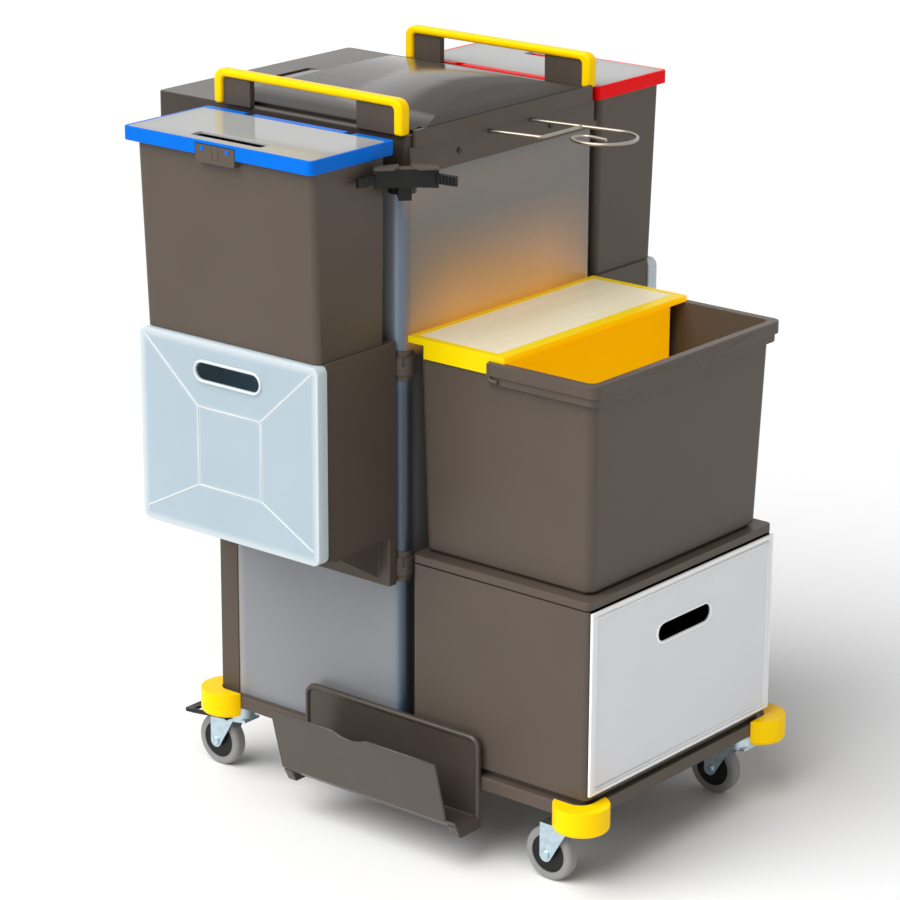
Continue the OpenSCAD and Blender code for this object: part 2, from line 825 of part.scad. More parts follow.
module tyre(front, side) {
    half = tyre_w / 2;
    color(grey) at_caster(front, side) translate([-trail, 0, wheel_r]) rotate([90, 0, 0]) rotate_extrude($fn = 64) {
        translate([hub_d / 2, -half]) square([wheel_r - tyre_edge_r - hub_d / 2, tyre_w]);
        translate([hub_d / 2, tyre_edge_r - half]) square([wheel_r - hub_d / 2, tyre_w - 2 * tyre_edge_r]);
        for (y = [tyre_edge_r - half, half - tyre_edge_r]) translate([wheel_r - tyre_edge_r, y])
            circle(tyre_edge_r);
    }
}

module brake_pedal(side) {
    out = pedal_in + pedal_t;
    color(black) at_caster(-1, side) translate([-pedal_pivot_x, 0, pedal_z]) {
        rotate([0, -pedal_slope, 0]) translate([0, 0, -pedal_t / 2]) linear_extrude(pedal_t) difference() {
            rounded(-pedal_l, 0, -out, out, pedal_t);
            translate([pedal_bar - pedal_l, -pedal_in - pedal_t / 8])
                square([pedal_l, 2 * pedal_in + pedal_t / 4]);
        }
        for (s = [1, -1]) on_side(s) {
            pin_y(pedal_pin_d, cheek_in + run_gap, out);
            pin_y(1.6 * pedal_t, pedal_in, out + pedal_t / 5);
        }
    }
}

// tower
module rear_posts() {
    color(dark) for (side = [1, -1]) on_side(side) difference() {
        box(post_x0, post_x1, tower_y - post_w, tower_y, base_top, frame_z);
        box(post_x0 + post_wall, post_x1 - groove_d - post_wall, tower_y - post_w + post_wall, tower_y - post_wall,
            base_top - over, frame_z + over);
        box(post_x1 - groove_d, post_x1 + over, sheet_y - sheet_t - fit, sheet_y + fit,
            base_top - over, frame_z + over);
    }
}

module corner_tubes() {
    color(zinc) for (side = [1, -1]) translate([arc_x, side * arc_y, base_top]) difference() {
        cylinder(r = bend_r - sheet_t, h = tower_h);
        translate([0, 0, -over]) cylinder(r = bend_r - sheet_t - tube_wall, h = tower_h + 2 * over);
    }
}

// outline of the wrap panel, moved inwards by t
module tower_outline(t) {
    x0 = post_x1 - groove_d;
    translate([x0, t - sheet_y]) square([arc_x - x0, 2 * (sheet_y - t)]);
    translate([x0, -arc_y]) square([tower_x1 - t - x0, 2 * arc_y]);
    for (side = [1, -1]) translate([arc_x, side * arc_y]) circle(bend_r - t);
}

module wrap_panel() {
    color(frosted) translate([0, 0, base_top]) difference() {
        linear_extrude(tower_h) tower_outline(0);
        translate([0, 0, -over]) linear_extrude(tower_h + 2 * over) {
            tower_outline(sheet_t);
            translate([post_x1 - groove_d - over, sheet_t - sheet_y]) square([2 * over, 2 * (sheet_y - sheet_t)]);
        }
    }
}

module rear_panel() {
    y = tower_y - post_w;
    color(frosted) box(post_x0 + rear_panel_in, post_x0 + rear_panel_in + rear_panel_t, -y, y, base_top, frame_z);
}

// opening for the waste bag, from z0 up to z1
module bag_opening(z0, z1) {
    bag_y = tower_y - post_w;
    box(post_x1 + bag_margin / 2, tower_x1 - bag_margin, -bag_y, bag_y, z0, z1);
}

module tower_cap() {
    y = tower_y + cap_over;
    color(dark) difference() {
        box(base_x0, frame_x1, -y, y, frame_z, frame_z + flange_t);
        bag_opening(frame_z - over, frame_z + flange_t + over);
    }
}

module top_frame() {
    tab = tab_w / 2 + tab_gap;
    in_y = frame_y - frame_wall;
    color(dark) difference() {
        union() {
            difference() {
                slab(frame_x0, frame_x1, frame_y, deck_r, frame_z, frame_top);
                box(frame_x0 + frame_wall, frame_x1 - frame_wall, -in_y, in_y, frame_z - over, frame_top - deck_t);
                box(base_x0 - fit, frame_x1 + over, -frame_y - over, frame_y + over,
                    frame_z - over, frame_z + flange_t);
            }
            for (side = [1, -1]) on_side(side)
                box(hinge_x - knuckle_r, hinge_x + knuckle_r, tab, tab + boss_w, hinge_z - knuckle_r, frame_top - over);
        }
        bag_opening(frame_top - deck_t - over, frame_top + over);
        box(hinge_x - knuckle_r - tab_gap, lid_x0 + lid_wall + tab_gap, -tab, tab,
            frame_top - deck_t - over, frame_top + over);
        translate([hinge_x, 0, hinge_z]) pin_y(hinge_pin_d + 2 * fit, -tab - boss_w - over, tab + boss_w + over);
    }
}

module apron() {
    lip_y = frame_y - handle_w / 2 - lip_gap;
    color(dark) difference() {
        union() {
            box(frame_x1, frame_x1 + apron_t, -apron_w / 2, apron_w / 2, frame_z, frame_z + apron_h);
            box(frame_x1, frame_x1 + apron_lip_t, -lip_y, lip_y, frame_z + apron_h, frame_top + apron_rise);
        }
        for (p = [[wire_y0, atan2(cross_slant, cross_x)], [wire_y1, wire_dir]]) translate([wire_x, p[0], wire_z])
            rotate([0, 0, p[1]]) pin_x(wire_d + 2 * fit, -wire_d, apron_lip_t + wire_d);
    }
}

// side profile of the lid, moved inwards by t
module lid_profile(t) {
    top = frame_top + lid_crown_h + over;
    slope = (top - frame_top - lid_front_h) / lid_front_run;
    polygon([[lid_x0 + t, frame_top - (t > 0 ? over : 0)], [lid_x1 - t, frame_top - (t > 0 ? over : 0)],
        [lid_x1 - t, frame_top + lid_front_h - t * (sqrt(1 + slope * slope) - slope)],
        [lid_x1 - lid_front_run - t / slope * (sqrt(1 + slope * slope) - 1), top - t],
        [lid_x0 + lid_rear_run + t, top - t], [lid_x0 + t, frame_top + lid_rear_h - t / 2]]);
}

module lid_body(t) {
    clear = lid_side_gap + t;
    difference() {
        intersection() {
            along_y(t - lid_y, lid_y - t) lid_profile(t);
            translate([0, 0, frame_top + lid_crown_h - vault_r]) rotate([0, 90, 0])
                translate([0, 0, lid_x0 - over]) cylinder(r = vault_r - t, h = lid_x1 - lid_x0 + 2 * over, $fn = 256);
        }
        if (lid_y > frame_y - handle_w / 2 - clear) for (side = [1, -1]) on_side(side)
            box(handle_x0 - clear, handle_x1 + clear, frame_y - handle_w / 2 - clear, lid_y + over,
                frame_top - 2 * over, handle_top);
    }
}

module tower_lid() {
    tab = tab_w / 2;
    color(dark) difference() {
        union() {
            difference() {
                lid_body(0);
                lid_body(lid_wall);
                box(frame_x1 - frame_wall, lid_x1 + over, -lid_y - over, lid_y + over,
                    frame_top - over, frame_top + apron_rise);
            }
            along_y(-tab, tab) polygon([[hinge_x, hinge_z], [lid_x0 + lid_wall, hinge_z],
                [lid_x0 + lid_wall, frame_top + lid_wall], [lid_x0, frame_top + lid_wall],
                [hinge_x, hinge_z + knuckle_r]]);
            translate([hinge_x, 0, hinge_z]) pin_y(2 * knuckle_r, -tab, tab);
        }
        translate([hinge_x, 0, hinge_z]) pin_y(hinge_pin_d + 2 * fit, -tab - over, tab + over);
    }
}

module lid_pin() {
    y = tab_w / 2 + tab_gap + boss_w;
    color(zinc) translate([hinge_x, 0, hinge_z]) pin_y(hinge_pin_d, -y, y);
}

module handle(side) {
    color(yellow) on_side(side) along_y(frame_y - handle_w / 2, frame_y + handle_w / 2) difference() {
        union() {
            rounded(handle_x0, handle_x1, frame_top, handle_top, handle_r);
            translate([handle_x0, frame_top]) square([handle_x1 - handle_x0, handle_r]);
        }
        rounded(handle_x0 + handle_leg, handle_x1 - handle_leg, frame_top - 2 * handle_in_r,
            handle_top - handle_bar, handle_in_r);
    }
}

module handle_webs() {
    in0 = handle_x0 + handle_leg;
    in1 = handle_x1 - handle_leg;
    top = handle_top - handle_bar;
    color(dark) for (side = [1, -1]) on_side(side) {
        intersection() {
            along_y(frame_y - web_t / 2, frame_y + web_t / 2) rounded(in0, in1, frame_top - 2 * handle_in_r, top, handle_in_r);
            union() {
                box(in0, in0 + web_rear_l, frame_y - web_t, frame_y + web_t, frame_top, top);
                box(in1 - web_front_l, in1, frame_y - web_t, frame_y + web_t, frame_top, top);
            }
        }
    }
}

// one collar round a front corner of the tower
module corner_ring(side, z, h, d) {
    difference() {
        translate([arc_x, side * arc_y, z]) cylinder(d = d, h = h);
        translate([0, 0, z - over]) linear_extrude(h + 2 * over) tower_outline(0);
    }
}

module ring_clips() {
    color(dark) for (side = [1, -1], z = [base_top + clip_low, base_top + clip_up]) difference() {
        union() {
            corner_ring(side, z, clip_neck_h, clip_neck_d);
            corner_ring(side, z + (clip_neck_h - clip_h) / 2, clip_h, clip_d);
        }
        translate([arc_x, side * arc_y, z + clip_neck_h / 2]) rotate([0, 0, side * 45])
            box(clip_neck_d / 2, clip_d, -clip_slot / 2, clip_slot / 2, 0, clip_h);
    }
}

// side units
module support_rail(side) {
    x1 = arc_x + clip_d / 6;
    shelf_x0 = post_x1;
    shelf_x1 = housing_x1 - housing_back;
    y1 = side_y + rail_t;
    color(dark) on_side(side) {
        box(post_x0, x1, side_y, y1, rail_z, housing_z);
        box(post_x0, post_x1, tower_y, side_y + over, rail_z, housing_z);
        box(shelf_x0, shelf_x1, side_y, side_y + shelf_d, housing_z - shelf_t, housing_z);
        for (x = [shelf_x0 + gusset_in, shelf_x1 - gusset_in - gusset_t]) along_x(x, x + gusset_t)
            polygon([[y1 - over, housing_z - shelf_t + over], [side_y + shelf_d - rail_t, housing_z - shelf_t + over],
                [y1 - over, rail_z + shelf_t]]);
    }
}

module side_housing(side) {
    color(dark) on_side(side) difference() {
        box(housing_x0, housing_x1, side_y, housing_y, housing_z, housing_top);
        box(housing_x0 + housing_wall, housing_x1 - housing_wall, side_y + housing_wall, housing_y + over,
            housing_z + housing_wall, housing_top - housing_wall);
    }
}

module side_drawer(side) {
    z0 = housing_z - over;
    z1 = housing_top - over;
    back = housing_y + run_gap;
    bin_x0 = housing_x0 + housing_wall + bin_gap;
    bin_x1 = housing_x1 - housing_wall - bin_gap;
    bin_y = side_y + housing_wall + bin_gap;
    bin_z0 = housing_z + housing_wall + run_gap;
    bin_z1 = housing_top - housing_wall - bin_gap;
    slot_z = z1 - slot_drop - slot_h;
    dish_z = (z0 + z1) / 2 - dish_drop;
    color(pale) on_side(side) difference() {
        union() {
            along_y(pan_y - pan_t, pan_y) rounded(pan_x0, pan_x1, z0, z1, pan_r);
            along_y(back, pan_y) difference() {
                rounded(pan_x0, pan_x1, z0, z1, pan_r);
                rounded(pan_x0 + pan_edge, pan_x1 - pan_edge, z0 + pan_edge, z1 - pan_edge, pan_r - pan_edge);
            }
            difference() {
                box(bin_x0, bin_x1, bin_y, pan_y - pan_t + over, bin_z0, bin_z1);
                box(bin_x0 + bin_wall, bin_x1 - bin_wall, bin_y + bin_wall, pan_y - pan_t,
                    bin_z0 + bin_wall, bin_z1 + over);
            }
        }
        along_y(back - over, pan_y + over)
            rounded(pan_mid - slot_w / 2, pan_mid + slot_w / 2, slot_z, slot_z + slot_h, slot_h / 2 - fit);
        hull() {
            box(pan_x0 + pan_border, pan_x1 - pan_border, pan_y, pan_y + over, z0 + pan_border * 2, z1 - pan_border);
            box(pan_mid - dish_w / 2, pan_mid + dish_w / 2, pan_y - pan_dish, pan_y + over,
                dish_z - dish_h / 2, dish_z + dish_h / 2);
        }
    }
}

// tapered tub from a foot at z0 to a mouth at z1, outer faces drawn in by t
module pail_form(t, z0, z1) {
    hull() {
        translate([0, 0, z0]) linear_extrude(0.1)
            rounded(pail_x0 + pail_end_taper + t, pail_x1 - pail_end_taper - t, pail_y + t,
                pail_y + pail_d - pail_taper - t, pail_r - t, $fn = 32);
        translate([0, 0, z1 - 0.1]) linear_extrude(0.1)
            rounded(pail_x0 + t, pail_x1 - t, pail_y + t, pail_y + pail_d - t, pail_r - t, $fn = 32);
    }
}

module side_bucket(side) {
    color(dark) on_side(side) {
        difference() {
            pail_form(0, housing_top, pail_top);
            pail_form(pail_wall, housing_top + pail_wall, pail_top + over);
        }
        box(cover_mid - latch_w / 2, cover_mid + latch_w / 2, pail_y + pail_d - pail_wall, cover_y1,
            pail_top - latch_h, pail_top - over);
        box(cover_mid - latch_w / 2, cover_mid + latch_w / 2, cover_y1 - latch_t, cover_y1,
            pail_top - latch_h, pail_top + cover_t - latch_drop);
        for (x = lug_x) {
            translate([x, cover_axis_y, cover_axis_z]) {
                pin_x(2 * lug_r, -lug_w / 2, lug_w / 2);
                pin_x(stub_d, -lug_w / 2 - stub_l, lug_w / 2 + stub_l);
            }
            along_x(x - lug_w / 2, x + lug_w / 2) polygon([[cover_axis_y - lug_r, cover_axis_z],
                [cover_axis_y + lug_r, cover_axis_z], [cover_axis_y + lug_r, pail_top - over],
                [pail_y + pail_wall / 2, pail_top - over],
                [pail_y + pail_wall / 2, pail_top - 4 * lug_r], [cover_axis_y - lug_r, cover_axis_z - 2 * lug_r]]);
        }
    }
}

// room for the latch in a bucket lid and its panel
module latch_recess() {
    half = latch_w / 2 + latch_gap;
    box(cover_mid - half, cover_mid + half, cover_y1 - latch_t - latch_gap, cover_y1 + over,
        pail_top - over, pail_top + cover_t - latch_drop + latch_gap);
}

module bucket_lid(side) {
    z1 = pail_top + cover_t;
    color(side > 0 ? red : blue) on_side(side) difference() {
        translate([0, 0, pail_top]) linear_extrude(cover_t) rounded(cover_x0, cover_x1, cover_y0, cover_y1, cover_r);
        box(cover_x0 + cover_rim, cover_x1 - cover_rim, cover_y0 + cover_rim, cover_y1 - cover_rim,
            pail_top - over, z1 + over);
        translate([0, 0, z1 - panel_t]) linear_extrude(panel_t + over) panel_outline();
        latch_recess();
        for (x = lug_x) {
            box(x - lug_w / 2 - lug_gap, x + lug_w / 2 + lug_gap, cover_y0 - over, cover_axis_y + lug_r + 2 * lug_gap,
                pail_top - over, z1 + over);
            translate([x, cover_axis_y, cover_axis_z])
                pin_x(stub_d + 2 * fit, -lug_w / 2 - stub_l - lug_gap, lug_w / 2 + stub_l + lug_gap);
        }
    }
}

// outline of the panel in a bucket lid
module panel_outline() {
    rounded(cover_x0 + cover_edge, cover_x1 - cover_edge, cover_y0 + cover_hinge_edge, cover_y1 - cover_edge,
        cover_r / 2);
}

module lid_panel(side) {
    z1 = pail_top + cover_t;
    grip_y = cover_y1 - grip_out;
    color(pale) on_side(side) difference() {
        translate([0, 0, z1 - panel_t]) linear_extrude(panel_t) difference() {
            panel_outline();
            rounded(cover_mid - grip_l / 2, cover_mid + grip_l / 2, grip_y - grip_w, grip_y, grip_w / 6);
        }
        latch_recess();
    }
}

// cabinet
module cabinet_shell() {
    runner_y = drawer_y - 2 * runner_w;
    color(dark) {
        slab(cabinet_x0 + plinth_in, cabinet_x1 - plinth_in, cabinet_y - plinth_in, cabinet_r - seam_d,
            base_top, cabinet_z + over);
        difference() {
            slab(cabinet_x0, cabinet_x1, cabinet_y, cabinet_r, cabinet_z, shell_top);
            box(cabinet_x0 + cabinet_wall, cabinet_x1 + over, cabinet_wall - cabinet_y, cabinet_y - cabinet_wall,
                cabinet_z + cabinet_wall, shell_top + over);
        }
        for (side = [1, -1]) on_side(side)
            box(cabinet_x0 + cabinet_wall - over, cabinet_x1 - plinth_in, runner_y, runner_y + runner_w,
                cabinet_z + cabinet_wall - over, cabinet_z + cabinet_wall + runner_h);
    }
}

module cabinet_top() {
    color(dark) {
        slab(cabinet_x0 + seam_d, cabinet_x1 - seam_d, cabinet_y - seam_d, cabinet_r - seam_d,
            shell_top, cabinet_top_z - over);
        slab(cabinet_x0, cabinet_x1, cabinet_y, cabinet_r, cabinet_top_z - cabinet_top_t, cabinet_top_z);
    }
}

module drawer_box() {
    color(dark) difference() {
        box(cabinet_x0 + cabinet_wall + drawer_gap, front_x, -drawer_y, drawer_y, drawer_z, drawer_z + drawer_h);
        box(cabinet_x0 + cabinet_wall + drawer_gap + drawer_wall, front_x + over, drawer_wall - drawer_y,
            drawer_y - drawer_wall, drawer_z + drawer_wall, drawer_z + drawer_h + over);
    }
}

module drawer_panel() {
    color(pale) difference() {
        box(front_x, front_x + front_t + front_bead, -front_y, front_y, front_z0, front_z1);
        box(front_x + front_t, front_x + front_t + front_bead + over, bead_side - front_y, front_y - bead_side,
            front_z0 + bead_top, front_z1 - bead_top);
        along_x(front_x - over, front_x + front_t + front_bead + over)
            rounded(-hand_w / 2, hand_w / 2, front_z1 - hand_drop - hand_h, front_z1 - hand_drop, hand_h / 2 - fit);
    }
}

// front bucket: outer faces drawn in by t, from z0 with its flare carried up to z1
module bucket_form(t, z0, z1) {
    hull() {
        translate([0, 0, z0]) linear_extrude(0.1)
            rounded(bucket_x0 + flare_rear + foot_bevel + t, bucket_x1 - flare_front - foot_bevel - t,
                flare_side + foot_bevel + t - bucket_y, bucket_y - flare_side - foot_bevel - t,
                bucket_r - t, $fn = 32);
        translate([0, 0, z0 + foot_bevel]) linear_extrude(0.1)
            rounded(bucket_x0 + flare_rear + t, bucket_x1 - flare_front - t, flare_side + t - bucket_y,
                bucket_y - flare_side - t, bucket_r - t, $fn = 32);
        translate([0, 0, z1 - 0.1]) linear_extrude(0.1)
            rounded(bucket_x0 + t, bucket_x1 - t, t - bucket_y, bucket_y - t, bucket_r - t, $fn = 32);
    }
}

module bucket_rim(out, z0, z1) {
    difference() {
        slab(bucket_x0 - out, bucket_x1 + out, bucket_y + out, bucket_r, z0, z1);
        box(bucket_x0 - out - over, bucket_x1 + out - rim_l, -bucket_y - out - over, bucket_y + out + over,
            z0 - over, z1 + over);
    }
}

module front_bucket() {
    color(dark) difference() {
        union() {
            bucket_form(0, cabinet_top_z, bucket_top);
            bucket_rim(rim_out, bucket_top - rim_h, bucket_top);
            bucket_rim(rim_low_out, bucket_top - rim_h - rim_low_h, bucket_top - rim_h + over);
        }
        bucket_form(bucket_wall, cabinet_top_z + bucket_wall, bucket_top + over);
    }
}

module tray() {
    flap_x0 = (tray_x0 + tray_x1) / 2 - flap_l / 2;
    z0 = bucket_top - tray_h;
    ledge_x0 = tray_lid_x0 - tray_lid_gap;
    ledge_x1 = tray_lid_x1 + tray_lid_gap;
    ledge_y = tray_lid_y + tray_lid_gap;
    color(yellow) difference() {
        union() {
            box(tray_x0, tray_x1, -tray_y, tray_y, bucket_top, tray_top);
            slab(tray_in_x0, tray_in_x1, tray_in_y, bucket_r / 2, z0, bucket_top + over);
            for (side = [1, -1]) on_side(side)
                box(flap_x0, flap_x0 + flap_l, tray_y - flap_t, tray_y, bucket_top - flap_h, bucket_top + over);
        }
        slab(tray_in_x0 + tray_wall, tray_in_x1 - tray_wall, tray_in_y - tray_wall, bucket_r / 2 - tray_wall,
            z0 + tray_wall, bucket_top + over);
        box(tray_in_x0 + tray_wall, tray_lid_x1 - tray_ledge, tray_ledge - tray_lid_y, tray_lid_y - tray_ledge,
            bucket_top - over, tray_top + over);
        box(ledge_x0, ledge_x1, -ledge_y, ledge_y, tray_lid_z, tray_top + over);
        box(ledge_x0, ledge_x0 + 3 * tray_pivot_x, -ledge_y, ledge_y, tray_lid_z - tray_lid_t, tray_top + over);
        translate([tray_pivot[0], 0, tray_pivot[1]])
            pin_y(tray_pin_d + 2 * fit, -tray_lid_y - tray_pin_l - run_gap, tray_lid_y + tray_pin_l + run_gap);
    }
}

module tray_lid() {
    mid = (tray_lid_x0 + tray_lid_x1) / 2;
    color(cream) {
        difference() {
            box(tray_lid_x0, tray_lid_x1, -tray_lid_y, tray_lid_y, tray_lid_z, tray_top);
            along_y(-tray_lid_y - over, tray_lid_y + over) polygon([[mid - crease_w / 2, tray_top],
                [mid, tray_top - crease_d], [mid + crease_w / 2, tray_top], [mid, tray_top + crease_d]]);
        }
        translate([tray_pivot[0], 0, tray_pivot[1]]) for (side = [1, -1]) on_side(side)
            pin_y(tray_pin_d, tray_lid_y - over, tray_lid_y + tray_pin_l);
    }
}

// attached pieces
module dustpan_pocket() {
    y1 = base_y + pocket_back_t;
    y2 = y1 + pocket_foot;
    zf = pocket_z + pocket_front_h;
    color(dark) on_side(-1) difference() {
        union() {
            along_y(base_y, y1) {
                rounded(pocket_x0, pocket_x1, pocket_z, pocket_z + pocket_h, pocket_r);
                translate([pocket_x0, pocket_z]) square([pocket_l, pocket_h - pocket_r]);
            }
            along_x(pocket_x0, pocket_x1) difference() {
                polygon([[base_y, pocket_z], [y2 - pocket_wall, pocket_z], [y2 + pocket_wall, pocket_z + 2 * pocket_wall],
                    [y2 + pocket_lean + pocket_wall, zf], [y1 - over, zf], [y1 - over, pocket_z + 2 * pocket_wall]]);
                polygon([[y1, pocket_z + pocket_wall], [y2 - pocket_wall, pocket_z + pocket_wall],
                    [y2, pocket_z + 2 * pocket_wall], [y2 + pocket_lean, zf], [y2 + pocket_lean, zf + over],
                    [y1, zf + over]]);
            }
            for (x = [pocket_x0, pocket_x1 - rib_w]) along_x(x, x + rib_w)
                polygon([[base_y, pocket_z - rib_h], [y2 - 2 * pocket_wall, pocket_z - rib_h],
                    [y2 + pocket_wall / 2, pocket_z + pocket_wall], [base_y, pocket_z + pocket_wall]]);
        }
        box(pocket_x1 - pocket_short, pocket_x1 + over, y1 + pocket_wall, y2 + pocket_lean + 2 * pocket_wall,
            pocket_z + 3 * pocket_wall, zf + over);
        translate([pocket_x0 + dip_x, y2 + pocket_lean, zf + dip_r - dip_d])
            pin_y(2 * dip_r, -pocket_foot / 2, pocket_foot / 2);
    }
}

module tool_clamp() {
    body_z = frame_z - clamp_drop;
    jaw_x = clamp_reach + jaw_half - clamp_half - 2 * jaw_t;
    color(black) {
        corner_ring(-1, frame_z - collar_gap - collar_h, collar_h, clip_d);
        translate([corner[0], corner[1], 0]) rotate([0, 0, -45]) {
            box(-1.5 * sheet_t, clamp_reach - neck_w, -neck_w / 2, neck_w / 2,
                frame_z - collar_gap - collar_h, frame_z - collar_gap);
            box(clamp_reach - 2.2 * neck_w, clamp_reach - neck_w, -neck_w / 2, neck_w / 2,
                frame_z - collar_gap - collar_h, body_z + clamp_h / 2);
            translate([0, 0, body_z]) linear_extrude(clamp_h) polygon([
                [clamp_reach - 1.3 * neck_w, -neck_w], [clamp_reach - 1.3 * neck_w, neck_w],
                [clamp_reach - 0.7 * neck_w, clamp_half - jaw_t / 2], [clamp_reach, clamp_half],
                [clamp_reach - jaw_t, neck_w], [clamp_reach - jaw_t, -neck_w],
                [clamp_reach, -clamp_half], [clamp_reach - 0.7 * neck_w, jaw_t / 2 - clamp_half]]);
            for (s = [1, -1]) on_side(s) {
                translate([0, 0, body_z + clamp_h / 4]) linear_extrude(clamp_h / 2) polygon([
                    [clamp_reach - 2 * jaw_t, clamp_half - jaw_t], [clamp_reach, clamp_half - jaw_t],
                    [jaw_x + jaw_t, jaw_half - 1.5 * jaw_t], [jaw_x + 2 * jaw_t, jaw_half],
                    [jaw_x + jaw_t, jaw_half + jaw_t / 2], [jaw_x, jaw_half]]);
                translate([0, 0, body_z + clamp_h]) linear_extrude(wing_t) polygon([
                    [clamp_reach - 1.3 * neck_w, neck_w / 2], [clamp_reach - 0.7 * neck_w, clamp_half - jaw_t / 2],
                    [clamp_reach, clamp_half], [clamp_reach + jaw_t, clamp_half], [clamp_reach + jaw_t, neck_w],
                    [clamp_reach - jaw_t, neck_w / 2]]);
            }
        }
    }
}

// straight wire in the plane of the hook, ending inside its beads
module wire(a, b, d = wire_d) {
    translate([a[0], a[1], wire_z]) rotate([0, 90, atan2(b[1] - a[1], b[0] - a[0])])
        cylinder(d = d, h = norm(b - a) - wire_bead / 2);
}

module wire_arc(c, r, a0, a1) {
    trim = asin(wire_bead / 2 / r);
    translate([c[0], c[1], wire_z]) rotate([0, 0, a0 + trim]) rotate_extrude(angle = a1 - a0 - 2 * trim)
        translate([r, 0]) circle(d = wire_d);
}

module wire_bead_at(p) {
    h = wire_d + wire_bead;
    translate([p[0], p[1], wire_z - h / 2]) cylinder(d = h, h = h);
}

module wire_hook() {
    start = [wire_x, wire_y1];
    tangent = start + wire_run * [cos(wire_dir), sin(wire_dir)];
    elbow = [wire_x + cross_x, wire_y0 + cross_slant];
    cross = start + cross_x / cos(wire_dir) * [cos(wire_dir), sin(wire_dir)];
    return_c = ring_c + (ring_r - return_r) * [cos(ring_end), sin(ring_end)];
    tip_dir = ring_end - return_turn;
    tip = return_c + return_r * [cos(tip_dir), sin(tip_dir)];
    end = tip + return_l * [sin(tip_dir), -cos(tip_dir)];
    color(zinc) {
        wire([wire_x, wire_y0], elbow);
        wire(cross, elbow, wire_cross_d);
        wire(start, tangent);
        wire_arc(ring_c, ring_r, ring_end, wire_dir + 90);
        wire_arc(return_c, return_r, tip_dir, ring_end);
        wire(end, tip);
        for (p = [elbow, tangent, ring_c + ring_r * [cos(ring_end), sin(ring_end)], tip, end]) wire_bead_at(p);
    }
}

module screws() {
    pocket_mid = (pocket_x0 + pocket_x1) / 2;
    color(zinc) {
        for (x = [pocket_mid - pocket_l / 4, pocket_mid + pocket_l / 4]) on_side(-1)
            translate([x, base_y + pocket_back_t, ride_h + base_h / 2]) pin_y(screw_d, 0, screw_h);
        for (y = [-apron_w / 4, apron_w / 4]) translate([frame_x1 + apron_t, y, frame_z + apron_h / 2])
            pin_x(screw_d, 0, screw_h);
    }
}

base_platform();
bumper(1, -1);  // bumper_front_right
bumper(1, 1);  // bumper_front_left
bumper(-1, -1);  // bumper_rear_right
bumper(-1, 1);  // bumper_rear_left
caster_plates();
fork(1, -1);  // fork_front_right
fork(1, 1);  // fork_front_left
fork(-1, -1);  // fork_rear_right
fork(-1, 1);  // fork_rear_left
axle(1, -1);  // axle_front_right
axle(1, 1);  // axle_front_left
axle(-1, -1);  // axle_rear_right
axle(-1, 1);  // axle_rear_left
hub(1, -1);  // hub_front_right
hub(1, 1);  // hub_front_left
hub(-1, -1);  // hub_rear_right
hub(-1, 1);  // hub_rear_left
tyre(1, -1);  // tyre_front_right
tyre(1, 1);  // tyre_front_left
tyre(-1, -1);  // tyre_rear_right
tyre(-1, 1);  // tyre_rear_left
brake_pedal(-1);  // brake_pedal_right
brake_pedal(1);  // brake_pedal_left
rear_posts();
corner_tubes();
wrap_panel();
rear_panel();
tower_cap();
top_frame();
apron();
tower_lid();
lid_pin();
handle(-1);  // handle_right
handle(1);  // handle_left
handle_webs();
ring_clips();
support_rail(-1);  // support_rail_right
support_rail(1);  // support_rail_left
side_housing(-1);  // side_housing_right
side_housing(1);  // side_housing_left
side_drawer(-1);  // side_drawer_right
side_drawer(1);  // side_drawer_left
side_bucket(-1);  // side_bucket_right
side_bucket(1);  // side_bucket_left
bucket_lid(-1);  // bucket_lid_right
bucket_lid(1);  // bucket_lid_left
lid_panel(-1);  // lid_panel_right
lid_panel(1);  // lid_panel_left
cabinet_shell();
cabinet_top();
drawer_box();
drawer_panel();
front_bucket();
tray();
tray_lid();
dustpan_pocket();
tool_clamp();
wire_hook();
screws();
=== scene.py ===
import math

import bmesh
import bpy
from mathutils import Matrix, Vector


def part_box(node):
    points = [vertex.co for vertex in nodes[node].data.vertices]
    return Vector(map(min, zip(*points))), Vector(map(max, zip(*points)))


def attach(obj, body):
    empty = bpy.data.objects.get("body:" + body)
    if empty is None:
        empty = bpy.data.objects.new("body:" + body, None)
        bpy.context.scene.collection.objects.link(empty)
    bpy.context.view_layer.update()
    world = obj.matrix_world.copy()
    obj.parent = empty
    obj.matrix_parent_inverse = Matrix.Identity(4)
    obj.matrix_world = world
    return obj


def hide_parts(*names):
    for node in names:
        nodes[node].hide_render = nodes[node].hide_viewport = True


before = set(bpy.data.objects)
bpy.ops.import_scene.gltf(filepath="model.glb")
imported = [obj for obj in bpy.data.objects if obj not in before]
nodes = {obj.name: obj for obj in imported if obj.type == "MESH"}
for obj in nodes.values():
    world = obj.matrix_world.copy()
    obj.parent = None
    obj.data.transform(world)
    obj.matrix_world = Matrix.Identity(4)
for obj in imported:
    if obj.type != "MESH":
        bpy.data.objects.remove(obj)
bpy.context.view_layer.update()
scene = bpy.context.scene
MM = 0.001
SIDES = {"right": -1, "left": 1}
CORNERS = [f"{end}_{side}" for end in ("front", "rear") for side in SIDES]


def on_sides(name):
    """Names of a piece on the right and on the left."""
    return [f"{name}_{side}" for side in SIDES]


def at_corners(name):
    """Names of a piece at the four corners of the base."""
    return [f"{name}_{corner}" for corner in CORNERS]


# Colours and nodes

def linear(hex_colour):
    """Linear colour from an sRGB hex value."""
    channels = [int(hex_colour[i:i + 2], 16) / 255 for i in (1, 3, 5)]
    return [c / 12.92 if c <= 0.04045 else ((c + 0.055) / 1.055) ** 2.4 for c in channels] + [1.0]


def per_metre(size_mm):
    """Texture scale at which one feature measures size_mm."""
    return 1000 / size_mm


